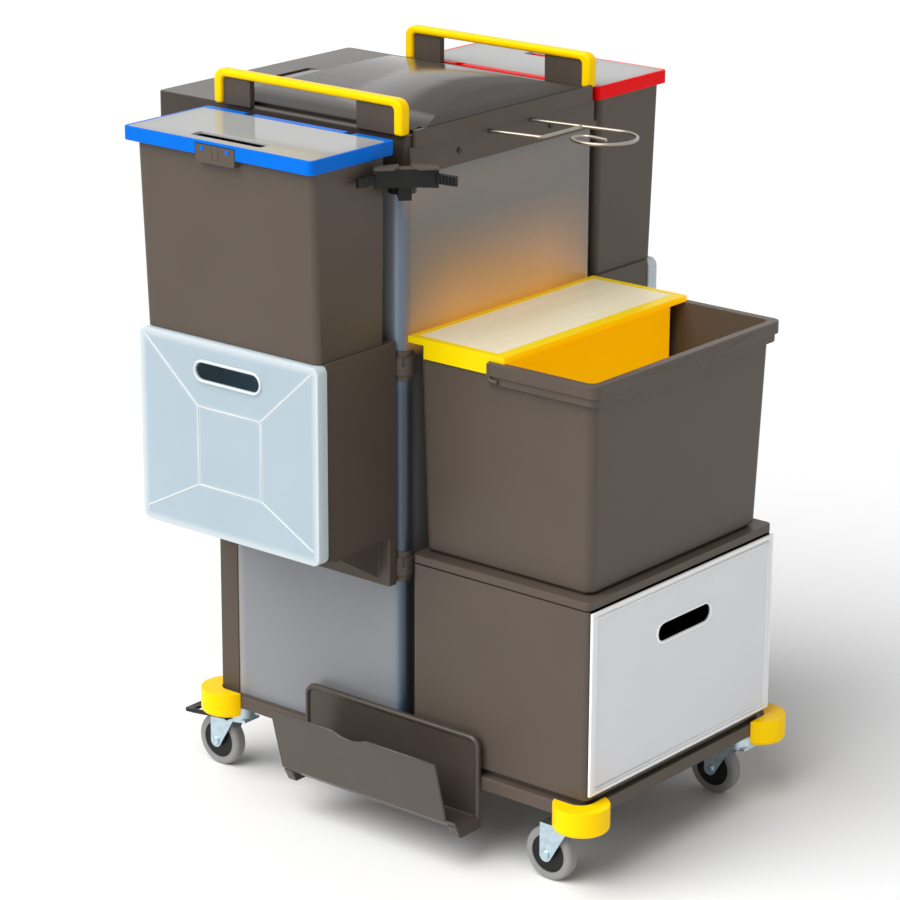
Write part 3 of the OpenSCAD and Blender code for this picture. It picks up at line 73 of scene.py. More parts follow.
def box_mm(node):
    """Low and high corner of a CAD node in millimetres."""
    low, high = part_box(node)
    return Vector(low) / MM, Vector(high) / MM


def add(tree, kind, links=None, stops=(), **settings):
    """Adds a node, sets its properties and ramp stops, then fills its inputs with values or links."""
    made = tree.nodes.new(kind)
    for name, value in settings.items():
        setattr(made, name, value)
    for i, (position, colour) in enumerate(stops):
        elements = made.color_ramp.elements
        element = elements[i] if i < 2 else elements.new(position)
        element.position = position
        element.color = linear(colour)
    for socket, source in (links or {}).items():
        if isinstance(source, bpy.types.NodeSocket):
            tree.links.new(source, made.inputs[socket])
        else:
            made.inputs[socket].default_value = source
    return made


def new_material(name, roughness=0.4, ior=1.49, sheen=0.5):
    """Empty node material with its surface shader and output. Sheen is its level of mirror reflection."""
    material = bpy.data.materials.new(name)
    material.use_nodes = True
    tree = material.node_tree
    tree.nodes.clear()
    shader = add(tree, "ShaderNodeBsdfPrincipled", {"Roughness": roughness, "IOR": ior,
                                                    "Specular IOR Level": sheen})
    add(tree, "ShaderNodeOutputMaterial", {"Surface": shader.outputs["BSDF"]}, name="out")
    return material, tree, shader


# Dished fronts of the side drawers, in millimetres: border at the sides and head, border at the foot,
# half size of the flat in the middle, how far it lies below the middle of the front, and its depth
PAN_BORDER = 10
FOOT_BORDER = 20
DISH_HALF_W = 59
DISH_HALF_H = 57.5
DISH_DROP = 13.5
DISH_DEPTH = 2.5


def drawer_dish(side):
    """Middle of a drawer's dish and the corners of its flat and of its outer edge, each as x and z."""
    low, high = box_mm(f"side_drawer_{side}")
    mid_x = (low.x + high.x) / 2
    mid_z = (low.z + high.z) / 2 - DISH_DROP
    flat = [(mid_x + i * DISH_HALF_W, mid_z + j * DISH_HALF_H)
            for i, j in ((-1, -1), (1, -1), (1, 1), (-1, 1))]
    left, right = low.x + PAN_BORDER, high.x - PAN_BORDER
    foot, head = low.z + FOOT_BORDER, high.z - PAN_BORDER
    return (mid_x, mid_z), flat, [(left, foot), (right, foot), (right, head), (left, head)]


# Surface detail shared by the mouldings

def moulded_surface(tree, shader, roughness, grain_mm, grain_height_mm):
    """Spark-eroded mould grain, with gloss that varies a little in patches left by the flow of the melt."""
    patch_mm = 120
    gloss_change = 0.05
    place = add(tree, "ShaderNodeTexCoord").outputs["Object"]
    grain = add(tree, "ShaderNodeTexNoise", {"Vector": place, "Scale": per_metre(grain_mm), "Detail": 3.0})
    bump = add(tree, "ShaderNodeBump", {"Height": grain.outputs["Fac"], "Strength": 0.3,
                                        "Distance": grain_height_mm * MM}, name="grain")
    tree.links.new(bump.outputs["Normal"], shader.inputs["Normal"])
    patches = add(tree, "ShaderNodeTexNoise", {"Vector": place, "Scale": per_metre(patch_mm), "Detail": 2.0})
    gloss = add(tree, "ShaderNodeMapRange", {
        "Value": patches.outputs["Fac"],
        "To Min": roughness - gloss_change, "To Max": roughness + gloss_change})
    tree.links.new(gloss.outputs["Result"], shader.inputs["Roughness"])
    return place, patches.outputs["Fac"]


def moulded_plastic(name, colour, shade, roughness, grain_mm, grain_height_mm=0.05, sheen=0.25):
    """Injection-moulded plastic: even colour with faint flow shading, fine grain, soft sheen."""
    material, tree, shader = new_material(name, sheen=sheen)
    _, patches = moulded_surface(tree, shader, roughness, grain_mm, grain_height_mm)
    flow = add(tree, "ShaderNodeValToRGB", {"Fac": patches}, stops=[(0.1, shade), (0.9, colour)])
    tree.links.new(flow.outputs["Color"], shader.inputs["Base Color"])
    return material


def shine_through(material, share, tint):
    """Lets part of the light pass through a thin milky wall."""
    tree = material.node_tree
    shader = tree.nodes["Principled BSDF"]
    glow = add(tree, "ShaderNodeBsdfTranslucent", {"Color": linear(tint)})
    mixed = add(tree, "ShaderNodeMixShader", {0: share, 1: shader.outputs["BSDF"], 2: glow.outputs["BSDF"]})
    tree.links.new(mixed.outputs["Shader"], tree.nodes["out"].inputs["Surface"])


# Plain mouldings: name, colour, shade of flow marks, roughness, size and height of the grain in mm, sheen

# Grain of the dark mouldings is about 0.5 mm on the real cart, drawn at 1.4 mm so that it shows.
dark_polypropylene = moulded_plastic("dark_polypropylene", "#5B5148", "#554B42", 0.42, 1.4)
# The deck is darker and comes from a smoother mould, so it has a soft gloss.
polished_polypropylene = moulded_plastic("polished_polypropylene", "#453D37", "#403832", 0.26, 4.0, 0.01)
# The pocket comes from a smoother mould too, so light runs along its rims.
smooth_polypropylene = moulded_plastic("smooth_polypropylene", "#4E453E", "#483F38", 0.26, 2.0, 0.02, 0.45)
# Glass-filled nylon: almost black with a dry sheen.
black_nylon = moulded_plastic("black_nylon", "#1E1E1F", "#171718", 0.4, 1.2)
# Coloured mouldings come from smooth moulds: clear colour, half gloss.
yellow_polypropylene = moulded_plastic("yellow_polypropylene", "#FFDC00", "#FFD600", 0.32, 2.0, 0.02, 0.07)
# A faint orange glow is painted on as emission, so shaded sides turn towards orange instead of olive.
yellow_shader = yellow_polypropylene.node_tree.nodes["Principled BSDF"]
yellow_shader.inputs["Emission Color"].default_value = linear("#FF8000")
yellow_shader.inputs["Emission Strength"].default_value = 0.12
blue_polypropylene = moulded_plastic("blue_polypropylene", "#0072E0", "#006CD8", 0.3, 2.0, 0.02, 0.06)
red_polypropylene = moulded_plastic("red_polypropylene", "#FF0410", "#FA020E", 0.3, 2.0, 0.02, 0.06)
# Milky lid panels: pressed from a polished plate, so they reflect the handles.
milky_panel = moulded_plastic("milky_panel", "#D4D6D5", "#CFD1D0", 0.1, 4.0, 0.006, 0.5)
shine_through(milky_panel, share=0.35, tint="#D8DADA")
# Crease beads and slot rims of the drawers: thicker plastic, which scatters more light and looks whiter.
thick_milky_plastic = moulded_plastic("thick_milky_plastic", "#DBE2E5", "#D5DDE1", 0.3, 2.5, 0.01)
# Rims of the silver front: white where the thin sheet is folded over.
white_polypropylene = moulded_plastic("white_polypropylene", "#FCFDFD", "#F8FAFA", 0.3, 2.5, 0.01)
# Thermoplastic rubber tyre: dull grey.
grey_tyre_rubber = moulded_plastic("grey_tyre_rubber", "#949494", "#8A8A8A", 0.6, 1.0)
# Blackened screws: dull, hardly seen against the dark plastic.
black_oxide_steel = moulded_plastic("black_oxide_steel", "#35312E", "#2E2B28", 0.36, 1.0, 0.02)


def ribbed_plastic(name, colour, shade, pitch_mm, depth_mm):
    """Dark plastic with fine upright ribs, which catch the light as thin lines."""
    material = moulded_plastic(name, colour, shade, roughness=0.4, grain_mm=1.4)
    tree = material.node_tree
    place = add(tree, "ShaderNodeTexCoord").outputs["Object"]
    split = add(tree, "ShaderNodeSeparateXYZ", {"Vector": place})
    along = add(tree, "ShaderNodeMath", {0: split.outputs["X"], 1: split.outputs["Y"]}, operation="ADD")
    radians_per_metre = math.tau / (pitch_mm * MM)
    turn = add(tree, "ShaderNodeMath", {0: along.outputs[0], 1: radians_per_metre}, operation="MULTIPLY")
    ribs = add(tree, "ShaderNodeMath", {0: turn.outputs[0]}, operation="SINE")
    bump = add(tree, "ShaderNodeBump", {
        "Height": ribs.outputs[0], "Strength": 0.8, "Distance": depth_mm * MM,
        "Normal": tree.nodes["grain"].outputs["Normal"]})
    tree.links.new(bump.outputs["Normal"], tree.nodes["Principled BSDF"].inputs["Normal"])
    return material


def toothed_clamp():
    """Tool clamp: toothed black nylon, teeth about 6 mm apart, under plates of dark plastic."""
    plate_mm = 3.6
    material = ribbed_plastic("toothed_nylon", "#1B1A19", "#151413", pitch_mm=6.0, depth_mm=0.4)
    tree = material.node_tree
    place = add(tree, "ShaderNodeTexCoord").outputs["Object"]
    height = add(tree, "ShaderNodeSeparateXYZ", {"Vector": place}).outputs["Z"]
    plate_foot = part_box("tool_clamp")[1].z - plate_mm * MM
    plate = add(tree, "ShaderNodeMath", {0: height, 1: plate_foot}, operation="GREATER_THAN")
    colour = add(tree, "ShaderNodeMixRGB", {"Fac": plate.outputs[0], "Color2": linear("#5B5148"),
                                            "Color1": tree.nodes["Color Ramp"].outputs["Color"]})
    tree.links.new(colour.outputs["Color"], tree.nodes["Principled BSDF"].inputs["Base Color"])
    return material


# Webs under the handles have ribs about 4 mm apart.
ribbed_polypropylene = ribbed_plastic("ribbed_polypropylene", "#574D45", "#50463E",
                                      pitch_mm=4.0, depth_mm=0.3)
toothed_nylon = toothed_clamp()


def edge_share(tree, place, node, axes, border_mm):
    """Share from 0 to 1 by which a point lies in the border of a node's face, across the named axes."""
    low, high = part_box(node)
    split = add(tree, "ShaderNodeSeparateXYZ", {"Vector": place})
    found = 0.0
    for axis in axes:
        i = "XYZ".index(axis)
        middle = (low[i] + high[i]) / 2
        half = (high[i] - low[i]) / 2
        away = add(tree, "ShaderNodeMath", {0: split.outputs[axis], 1: middle}, operation="SUBTRACT")
        apart = add(tree, "ShaderNodeMath", {0: away.outputs[0]}, operation="ABSOLUTE")
        border = add(tree, "ShaderNodeMapRange", {
            "Value": apart.outputs[0],
            "From Min": half - border_mm * MM, "From Max": half - border_mm * MM / 3})
        joined = add(tree, "ShaderNodeMath", {0: border.outputs["Result"], 1: found}, operation="MAXIMUM")
        found = joined.outputs[0]
    return found


def crease_share(tree, place):
    """Share from 0 to 1 by which a point of a drawer front lies on a crease of its dished face."""
    flat_blur = 5 * MM
    slope_blur = 7 * MM
    middle, flat, outer = drawer_dish("right")
    split = add(tree, "ShaderNodeSeparateXYZ", {"Vector": place})
    away = {}
    past = {}
    for axis, centre, half in (("X", middle[0], DISH_HALF_W), ("Z", middle[1], DISH_HALF_H)):
        away[axis] = add(tree, "ShaderNodeMath", {0: split.outputs[axis], 1: centre * MM},
                         operation="SUBTRACT")
        apart = add(tree, "ShaderNodeMath", {0: away[axis].outputs[0]}, operation="ABSOLUTE")
        past[axis] = add(tree, "ShaderNodeMath", {0: apart.outputs[0], 1: half * MM}, operation="SUBTRACT")
    past_x, past_z = past["X"].outputs[0], past["Z"].outputs[0]
    past_flat = add(tree, "ShaderNodeMath", {0: past_x, 1: past_z}, operation="MAXIMUM")
    off_flat = add(tree, "ShaderNodeMath", {0: past_flat.outputs[0]}, operation="ABSOLUTE")
    on_flat = add(tree, "ShaderNodeMapRange", {
        "Value": off_flat.outputs[0], "From Max": flat_blur, "To Min": 1.0, "To Max": 0.0})
    # a sloping crease runs where the way out from the flat is the same share across as up or down
    run_x = outer[2][0] - flat[2][0]
    run_up = outer[2][1] - flat[2][1]
    run_down = flat[0][1] - outer[0][1]
    above = add(tree, "ShaderNodeMath", {0: away["Z"].outputs[0], 1: 0.0}, operation="GREATER_THAN")
    slope = add(tree, "ShaderNodeMapRange", {"Value": above.outputs[0], "To Min": run_x / run_down,
                                             "To Max": run_x / run_up})
    level = add(tree, "ShaderNodeMath", {0: past_z, 1: slope.outputs["Result"]}, operation="MULTIPLY")
    aside = add(tree, "ShaderNodeMath", {0: past_x, 1: level.outputs[0]}, operation="SUBTRACT")
    off_slope = add(tree, "ShaderNodeMath", {0: aside.outputs[0]}, operation="ABSOLUTE")
    on_slope = add(tree, "ShaderNodeMapRange", {
        "Value": off_slope.outputs[0], "From Max": slope_blur, "To Min": 1.0, "To Max": 0.0})
    outside = add(tree, "ShaderNodeMath", {0: past_flat.outputs[0], 1: 0.0}, operation="GREATER_THAN")
    sloping = add(tree, "ShaderNodeMath", {0: on_slope.outputs["Result"], 1: outside.outputs[0]},
                  operation="MULTIPLY")
    share = add(tree, "ShaderNodeMath", {0: on_flat.outputs["Result"], 1: sloping.outputs[0]},
                operation="MAXIMUM")
    return share.outputs[0]


def edged_plastic(name, node, axes, colour, shade, edge, border_mm, creased=False):
    """Plastic that looks whiter in the thick border of a node's face and along its creases."""
    material, tree, shader = new_material(name)
    place, patches = moulded_surface(tree, shader, roughness=0.3, grain_mm=2.5, grain_height_mm=0.012)
    flow = add(tree, "ShaderNodeValToRGB", {"Fac": patches}, stops=[(0.1, shade), (0.9, colour)])
    share = edge_share(tree, place, node, axes, border_mm)
    if creased:
        joined = add(tree, "ShaderNodeMath", {0: share, 1: crease_share(tree, place)}, operation="MAXIMUM")
        share = joined.outputs[0]
    mixed = add(tree, "ShaderNodeMixRGB", {"Fac": share, "Color1": flow.outputs["Color"],
                                           "Color2": linear(edge)})
    tree.links.new(mixed.outputs["Color"], shader.inputs["Base Color"])
    return material


# Natural polypropylene of the side drawers: bluish where thin, whiter along its thick outer edge.
milky_polypropylene = edged_plastic("milky_polypropylene", "side_drawer_right", "XZ", "#CBDBE4", "#C3D4DD",
                                    "#EAF2F5", border_mm=13, creased=True)
shine_through(milky_polypropylene, share=0.35, tint="#DCE8EE")
# Silver-grey drawer panel with paler raised edges.
silver_panel_plastic = edged_plastic("silver_panel_plastic", "drawer_panel", "YZ", "#E8E9EC", "#E3E4E7",
                                     "#FAFAFA", border_mm=8)


def corner_colour(tree, split, across):
    """Colour of the frosted sheet: grey, with the steel tubes at its bent corners painted on as a highlight
    line and blue shade.
    """
    bend = 15 * MM
    painted_shade_reach = 90 * MM
    post_inset = 8 * MM
    post_strip = 14 * MM
    low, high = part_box("wrap_panel")
    past_x = add(tree, "ShaderNodeMath", {0: split.outputs["X"], 1: high.x - bend}, operation="SUBTRACT")
    past_y = add(tree, "ShaderNodeMath", {0: across, 1: high.y - bend}, operation="SUBTRACT")
    turn = add(tree, "ShaderNodeMath", {0: past_x.outputs[0], 1: past_y.outputs[0]}, operation="ARCTAN2")
    along = add(tree, "ShaderNodeMapRange", {"Value": turn.outputs[0], "From Min": -math.pi / 2,
                                             "From Max": math.pi})
    # from the side of the tower round its corner to the front: a painted highlight line that falls off to
    # painted dark blue shade
    corner = add(tree, "ShaderNodeValToRGB", {"Fac": along.outputs["Result"]}, stops=[
        (0.0, "#898B90"), (0.26, "#8B8D93"), (0.33, "#9AA4AE"), (0.365, "#A4B4C2"), (0.4, "#7C90A3"),
        (0.46, "#5E748A"), (0.53, "#506478"), (0.62, "#5B636B"), (0.7, "#6E6D6B"), (0.82, "#74716E"),
        (1.0, "#74716E")])
    # beside tray, bucket and cabinet the corner is painted darker as shade, so the tube is only a dim blue
    # line
    painted_dark_corner = add(tree, "ShaderNodeValToRGB", {"Fac": along.outputs["Result"]}, stops=[
        (0.0, "#898B90"), (0.22, "#86888D"), (0.3, "#7E8690"), (0.365, "#6E7C8B"), (0.42, "#4E5F6E"),
        (0.5, "#2C3C4C"), (0.6, "#2C343E"), (0.7, "#3E3F42"), (0.82, "#74716E"), (1.0, "#74716E")])
    tray_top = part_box("tray")[1].z
    painted_shade_below_tray = add(tree, "ShaderNodeMapRange", {
        "Value": split.outputs["Z"], "From Min": tray_top - painted_shade_reach, "From Max": tray_top,
        "To Min": 1.0, "To Max": 0.0})
    corner_with_painted_shade = add(tree, "ShaderNodeMixRGB", {
        "Fac": painted_shade_below_tray.outputs["Result"], "Color1": corner.outputs["Color"],
        "Color2": painted_dark_corner.outputs["Color"]})
    # a pale strip where the sheet enters the rear post
    strip_start = low.x + post_inset
    beside_post = add(tree, "ShaderNodeMapRange", {
        "Value": split.outputs["X"], "From Min": strip_start, "From Max": strip_start + post_strip,
        "To Min": 0.75, "To Max": 0.0})
    lit = add(tree, "ShaderNodeMixRGB", {
        "Fac": beside_post.outputs["Result"], "Color1": corner_with_painted_shade.outputs["Color"], "Color2": linear("#ACA8A5")})
    return lit.outputs["Color"]


def painted_tray_light(tree, split, across):
    """Level of the warm glow painted on the sheet's front, which stands in for the light the yellow tray
    throws there while it stands close.
    """
    reach = 155 * MM
    zone_middle = 90 * MM
    zone_half = 95 * MM
    zone_fade = 30 * MM
    end_fade = 110 * MM
    full_level, end_level = 0.51, 0.275
    # share of open view down to which the painted light grows
    least_open = 0.45
    half_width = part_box("wrap_panel")[1].y
    zone_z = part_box("tray")[1].z + zone_middle
    near = add(tree, "ShaderNodeAmbientOcclusion", {"Distance": reach}, samples=24)
    normal = add(tree, "ShaderNodeTexCoord").outputs["Normal"]
    facing = add(tree, "ShaderNodeSeparateXYZ", {"Vector": normal})
    to_front = add(tree, "ShaderNodeMapRange", {
        "Value": facing.outputs["X"], "From Min": 0.6, "From Max": 0.95})
    off_zone = add(tree, "ShaderNodeMath", {0: split.outputs["Z"], 1: zone_z}, operation="SUBTRACT")
    apart = add(tree, "ShaderNodeMath", {0: off_zone.outputs[0]}, operation="ABSOLUTE")
    in_zone = add(tree, "ShaderNodeMapRange", {
        "Value": apart.outputs[0], "From Min": zone_half, "From Max": zone_half + zone_fade,
        "To Min": 1.0, "To Max": 0.0})
    reached = add(tree, "ShaderNodeMath", {0: to_front.outputs["Result"], 1: in_zone.outputs["Result"]},
                  operation="MULTIPLY")
    along_tray = add(tree, "ShaderNodeMapRange", {
        "Value": across, "From Min": half_width - end_fade, "From Max": half_width,
        "To Min": full_level, "To Max": end_level})
    covered = add(tree, "ShaderNodeMapRange", {
        "Value": near.outputs["AO"], "From Min": least_open, "To Min": along_tray.outputs["Result"],
        "To Max": 0.0})
    painted_warm_light = add(tree, "ShaderNodeMath", {0: covered.outputs["Result"], 1: reached.outputs[0]},
               operation="MULTIPLY")
    return painted_warm_light.outputs[0]


def frosted_sheet():
    """Frosted polycarbonate sheet of the tower: half clear, with a fine matt grain, painted tube shading at
    its corners and a painted warm glow above the tray.
    """
    material, tree, shader = new_material("frosted_polycarbonate", ior=1.58)
    place, _ = moulded_surface(tree, shader, roughness=0.34, grain_mm=3.0, grain_height_mm=0.01)
    split = add(tree, "ShaderNodeSeparateXYZ", {"Vector": place})
    across = add(tree, "ShaderNodeMath", {0: split.outputs["Y"]}, operation="ABSOLUTE").outputs[0]
    tree.links.new(corner_colour(tree, split, across), shader.inputs["Base Color"])
    # painted light: warm emission on the sheet above the tray
    shader.inputs["Emission Color"].default_value = linear("#FFA600")
    tree.links.new(painted_tray_light(tree, split, across), shader.inputs["Emission Strength"])
    # the painted glow is too weak to be sampled as a lamp
    material.cycles.emission_sampling = "NONE"
    return material


def cream_lid():
    """Cream polyethylene of the tray's lid: matt, faintly streaked along its length."""
    streak_mm = 40
    material, tree, shader = new_material("cream_polyethylene", ior=1.51)
    place, _ = moulded_surface(tree, shader, roughness=0.4, grain_mm=2.0, grain_height_mm=0.02)
    stretched = add(tree, "ShaderNodeMapping", {"Vector": place, "Scale": (1.0, 0.15, 1.0)})
    streaks = add(tree, "ShaderNodeTexNoise", {
        "Vector": stretched.outputs["Vector"], "Scale": per_metre(streak_mm), "Detail": 2.0})
    streaked = add(tree, "ShaderNodeValToRGB", {"Fac": streaks.outputs["Fac"]},
                   stops=[(0.3, "#F4E8C4"), (0.65, "#FBF2D4")])
    tree.links.new(streaked.outputs["Color"], shader.inputs["Base Color"])
    return material


def yellow_with_painted_glow():
    """Yellow polypropylene tray with a painted orange glow on its walls that face the front, so the well
    looks orange.
    """
    painted_glow_level = 0.68
    material = moulded_plastic("painted_glow_yellow_polypropylene", "#FFE000", "#FFDA00", 0.32, 2.0, 0.02, 0.15)
    tree = material.node_tree
    normal = add(tree, "ShaderNodeTexCoord").outputs["Normal"]
    facing = add(tree, "ShaderNodeSeparateXYZ", {"Vector": normal})
    painted_glow_share = add(tree, "ShaderNodeMapRange", {
        "Value": facing.outputs["X"], "From Min": 0.5, "From Max": 0.9, "To Max": painted_glow_level})
    shader = tree.nodes["Principled BSDF"]
    # painted glow: orange emission on the faces that look to the front
    shader.inputs["Emission Color"].default_value = linear("#FFAC00")
    tree.links.new(painted_glow_share.outputs["Result"], shader.inputs["Emission Strength"])
    return material


def plated_steel(name, bright, dull, roughness, spangle_mm):
    """Zinc-plated steel: pale metal with faint spangle in its gloss."""
    gloss_change = 0.06
    material, tree, shader = new_material(name)
    place = add(tree, "ShaderNodeTexCoord").outputs["Object"]
    spangle = add(tree, "ShaderNodeTexNoise", {
        "Vector": place, "Scale": per_metre(spangle_mm), "Detail": 3.0}).outputs["Fac"]
    tone = add(tree, "ShaderNodeValToRGB", {"Fac": spangle}, stops=[(0.35, dull), (0.65, bright)])
    gloss = add(tree, "ShaderNodeMapRange", {
        "Value": spangle, "From Min": 0.3, "From Max": 0.7,
        "To Min": roughness - gloss_change, "To Max": roughness + gloss_change})
    tree.links.new(tone.outputs["Color"], shader.inputs["Base Color"])
    tree.links.new(gloss.outputs["Result"], shader.inputs["Roughness"])
    shader.inputs["Metallic"].default_value = 1.0
    return material


def grained_slope_with_painted_shade():
    """Polypropylene of the tower lid: polished crown, front slope with a fine dry grain and painted darker
    shade.
    """
    polished, dry = 0.17, 0.45
    # the grain and the painted shade also cover the two side borders, where they fade in between these
    # distances from the edge
    fade_start, fade_end = 45 * MM, 20 * MM
    material = moulded_plastic("part_polished_polypropylene", "#453D37", "#403832", polished, 4.0, 0.01, 0.3)
    tree = material.node_tree
    shader = tree.nodes["Principled BSDF"]
    surface = add(tree, "ShaderNodeTexCoord")
    facing = add(tree, "ShaderNodeSeparateXYZ", {"Vector": surface.outputs["Normal"]})
    sloping = add(tree, "ShaderNodeMapRange", {
        "Value": facing.outputs["X"], "From Min": 0.06, "From Max": 0.12})
    place = add(tree, "ShaderNodeSeparateXYZ", {"Vector": surface.outputs["Object"]})
    across = add(tree, "ShaderNodeMath", {0: place.outputs["Y"]}, operation="ABSOLUTE")
    half_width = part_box("tower_lid")[1].y
    side_border = add(tree, "ShaderNodeMapRange", {
        "Value": across.outputs[0], "From Min": half_width - fade_start, "From Max": half_width - fade_end})
    grain_and_painted_shade = add(tree, "ShaderNodeMath", {0: sloping.outputs["Result"], 1: side_border.outputs["Result"]},
                  operation="MAXIMUM").outputs[0]
    # painted shade: darker base colour on the front slope and the side borders
    colour = add(tree, "ShaderNodeMixRGB", {"Fac": grain_and_painted_shade, "Color2": linear("#2A2420"),
                                            "Color1": tree.nodes["Color Ramp"].outputs["Color"]})
    tree.links.new(colour.outputs["Color"], shader.inputs["Base Color"])
    gloss = add(tree, "ShaderNodeMapRange", {"Value": grain_and_painted_shade, "To Min": polished, "To Max": dry})
    tree.links.new(gloss.outputs["Result"], shader.inputs["Roughness"])
    return material


part_polished_polypropylene = grained_slope_with_painted_shade()
frosted_polycarbonate = frosted_sheet()
cream_polyethylene = cream_lid()
painted_glow_yellow_polypropylene = yellow_with_painted_glow()
zinc_plated_steel = plated_steel("zinc_plated_steel", "#CFE0E8", "#BCD0DA", roughness=0.36, spangle_mm=6)
# Drawn wire is smoother, with long cloudy patches.
bright_wire = plated_steel("bright_wire", "#A89F94", "#958C81", roughness=0.3, spangle_mm=60)


# Finish of every CAD node

finishes = {
    dark_polypropylene: ["base_platform", "rear_posts", "tower_cap", "apron", "ring_clips", "cabinet_shell",
                         "cabinet_top", "drawer_box", "front_bucket"]
    + on_sides("support_rail") + on_sides("side_housing") + on_sides("side_bucket"),
    smooth_polypropylene: ["dustpan_pocket"],
    polished_polypropylene: ["top_frame"],
    part_polished_polypropylene: ["tower_lid"],
    ribbed_polypropylene: ["handle_webs"],
    yellow_polypropylene: on_sides("handle") + at_corners("bumper"),
    painted_glow_yellow_polypropylene: ["tray"],
    black_nylon: on_sides("brake_pedal") + at_corners("hub"),
    toothed_nylon: ["tool_clamp"],
    blue_polypropylene: ["bucket_lid_right"],
    red_polypropylene: ["bucket_lid_left"],
    frosted_polycarbonate: ["wrap_panel", "rear_panel"],
    milky_polypropylene: on_sides("side_drawer"),
    milky_panel: on_sides("lid_panel"),
    cream_polyethylene: ["tray_lid"],
    silver_panel_plastic: ["drawer_panel"],
    zinc_plated_steel: ["caster_plates", "corner_tubes", "lid_pin"]
    + at_corners("fork") + at_corners("axle"),
    black_oxide_steel: ["screws"],
    bright_wire: ["wire_hook"],
    grey_tyre_rubber: at_corners("tyre"),
}
for finish, names in finishes.items():
    for name in names:
        nodes[name].data.materials.clear()
        nodes[name].data.materials.append(finish)


# Rounded edges

# Faces of these nodes have notches in their outline, so they keep the triangles of the CAD mesh.
NOTCHED = ["tower_cap", "ring_clips", "tool_clamp", "rear_posts"] + on_sides("side_drawer")
# Low creases that stay crisp, with the least angle in degrees.
CRISP = {"tower_lid": 8}


def soften(name, width_mm):
    """Rounds a CAD node's sharp edges as its mould does and shades its curved faces evenly."""
    weld_mm = 0.01
    flat_deg = 1
    sharp_deg = 30
    piece = nodes[name]
    mesh = piece.data
    if "custom_normal" in mesh.attributes:
        mesh.attributes.remove(mesh.attributes["custom_normal"])
    mesh.polygons.foreach_set("use_smooth", [True] * len(mesh.polygons))
    if name in CRISP:
        mesh.set_sharp_from_angle(angle=math.radians(CRISP[name]))
    weld = piece.modifiers.new("joined corners", "WELD")
    weld.merge_threshold = weld_mm * MM
    if name not in NOTCHED:
        whole = piece.modifiers.new("whole faces", "DECIMATE")
        whole.decimate_type = "DISSOLVE"
        whole.angle_limit = math.radians(flat_deg)
        whole.delimit = {"SHARP"}
    edge = piece.modifiers.new("rounded edges", "BEVEL")
    edge.width = width_mm * MM
    edge.segments = 2
    edge.limit_method = "ANGLE"
    edge.angle_limit = math.radians(sharp_deg)
    edge.use_clamp_overlap = False
    even = piece.modifiers.new("even shading", "WEIGHTED_NORMAL")
    even.weight = 80
    even.keep_sharp = True


# Widths of the rounding in millimetres: single nodes, nodes on both sides, nodes at all four corners
edge_widths = {
    "base_platform": 2.0, "top_frame": 2.0, "tower_cap": 0.8, "tower_lid": 0.6, "apron": 1.0,
    "handle_webs": 1.0, "cabinet_shell": 0.6, "cabinet_top": 1.0, "drawer_box": 0.8, "drawer_panel": 0.5,
    "front_bucket": 0.9, "tray": 0.2, "tray_lid": 0.2, "dustpan_pocket": 1.3, "tool_clamp": 0.3,
    "rear_posts": 0.5, "ring_clips": 0.8, "screws": 0.6,
}
side_widths = {
    "handle": 4.0, "support_rail": 1.5, "side_housing": 1.2, "side_drawer": 0.8, "side_bucket": 0.4,
    "bucket_lid": 1.5, "lid_panel": 0.6, "brake_pedal": 0.5,
}
corner_widths = {"bumper": 1.0, "fork": 0.2, "hub": 0.8, "axle": 0.6, "tyre": 0.5}
for name, width in side_widths.items():
    edge_widths.update({node: width for node in on_sides(name)})
for name, width in corner_widths.items():
    edge_widths.update({node: width for node in at_corners(name)})
for name, width in edge_widths.items():
    soften(name, width)


# Small raised details, in millimetres

def rods(name, runs, radius_mm, finish, body, closed=False):
    """Round beads along runs of points in millimetres, as one mesh that rides on a body."""
    line = bpy.data.curves.new(name, "CURVE")
    line.dimensions = "3D"
    line.bevel_depth = radius_mm * MM
    line.bevel_resolution = 3
    line.use_fill_caps = True
    for points in runs:
        spline = line.splines.new("POLY")
        spline.points.add(len(points) - 1)
        spline.use_cyclic_u = closed
        for point, place in zip(spline.points, points):
            point.co = [c * MM for c in place] + [1.0]
    guide = bpy.data.objects.new(name + "_line", line)
    scene.collection.objects.link(guide)
    bpy.context.view_layer.update()
    mesh = bpy.data.meshes.new_from_object(guide.evaluated_get(bpy.context.evaluated_depsgraph_get()))
    mesh.name = name
    bpy.data.objects.remove(guide)
    mesh.materials.clear()
    mesh.materials.append(finish)
    mesh.polygons.foreach_set("use_smooth", [True] * len(mesh.polygons))
    piece = bpy.data.objects.new(name, mesh)
    scene.collection.objects.link(piece)
    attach(piece, body)
    return piece


def arc(centre, radius, start, end, steps=8):
    """Points of an arc in a plane, angles in degrees."""
    angles = [math.radians(start + (end - start) * i / steps) for i in range(steps + 1)]
    return [(centre[0] + radius * math.cos(a), centre[1] + radius * math.sin(a)) for a in angles]


def slot_outline(width, height):
    """Points round a slot with half-round ends, centred on 0, in the plane of its face."""
    r = height / 2
    half = width / 2 - r
    return arc((half, 0), r, -90, 90) + arc((-half, 0), r, 90, 270)


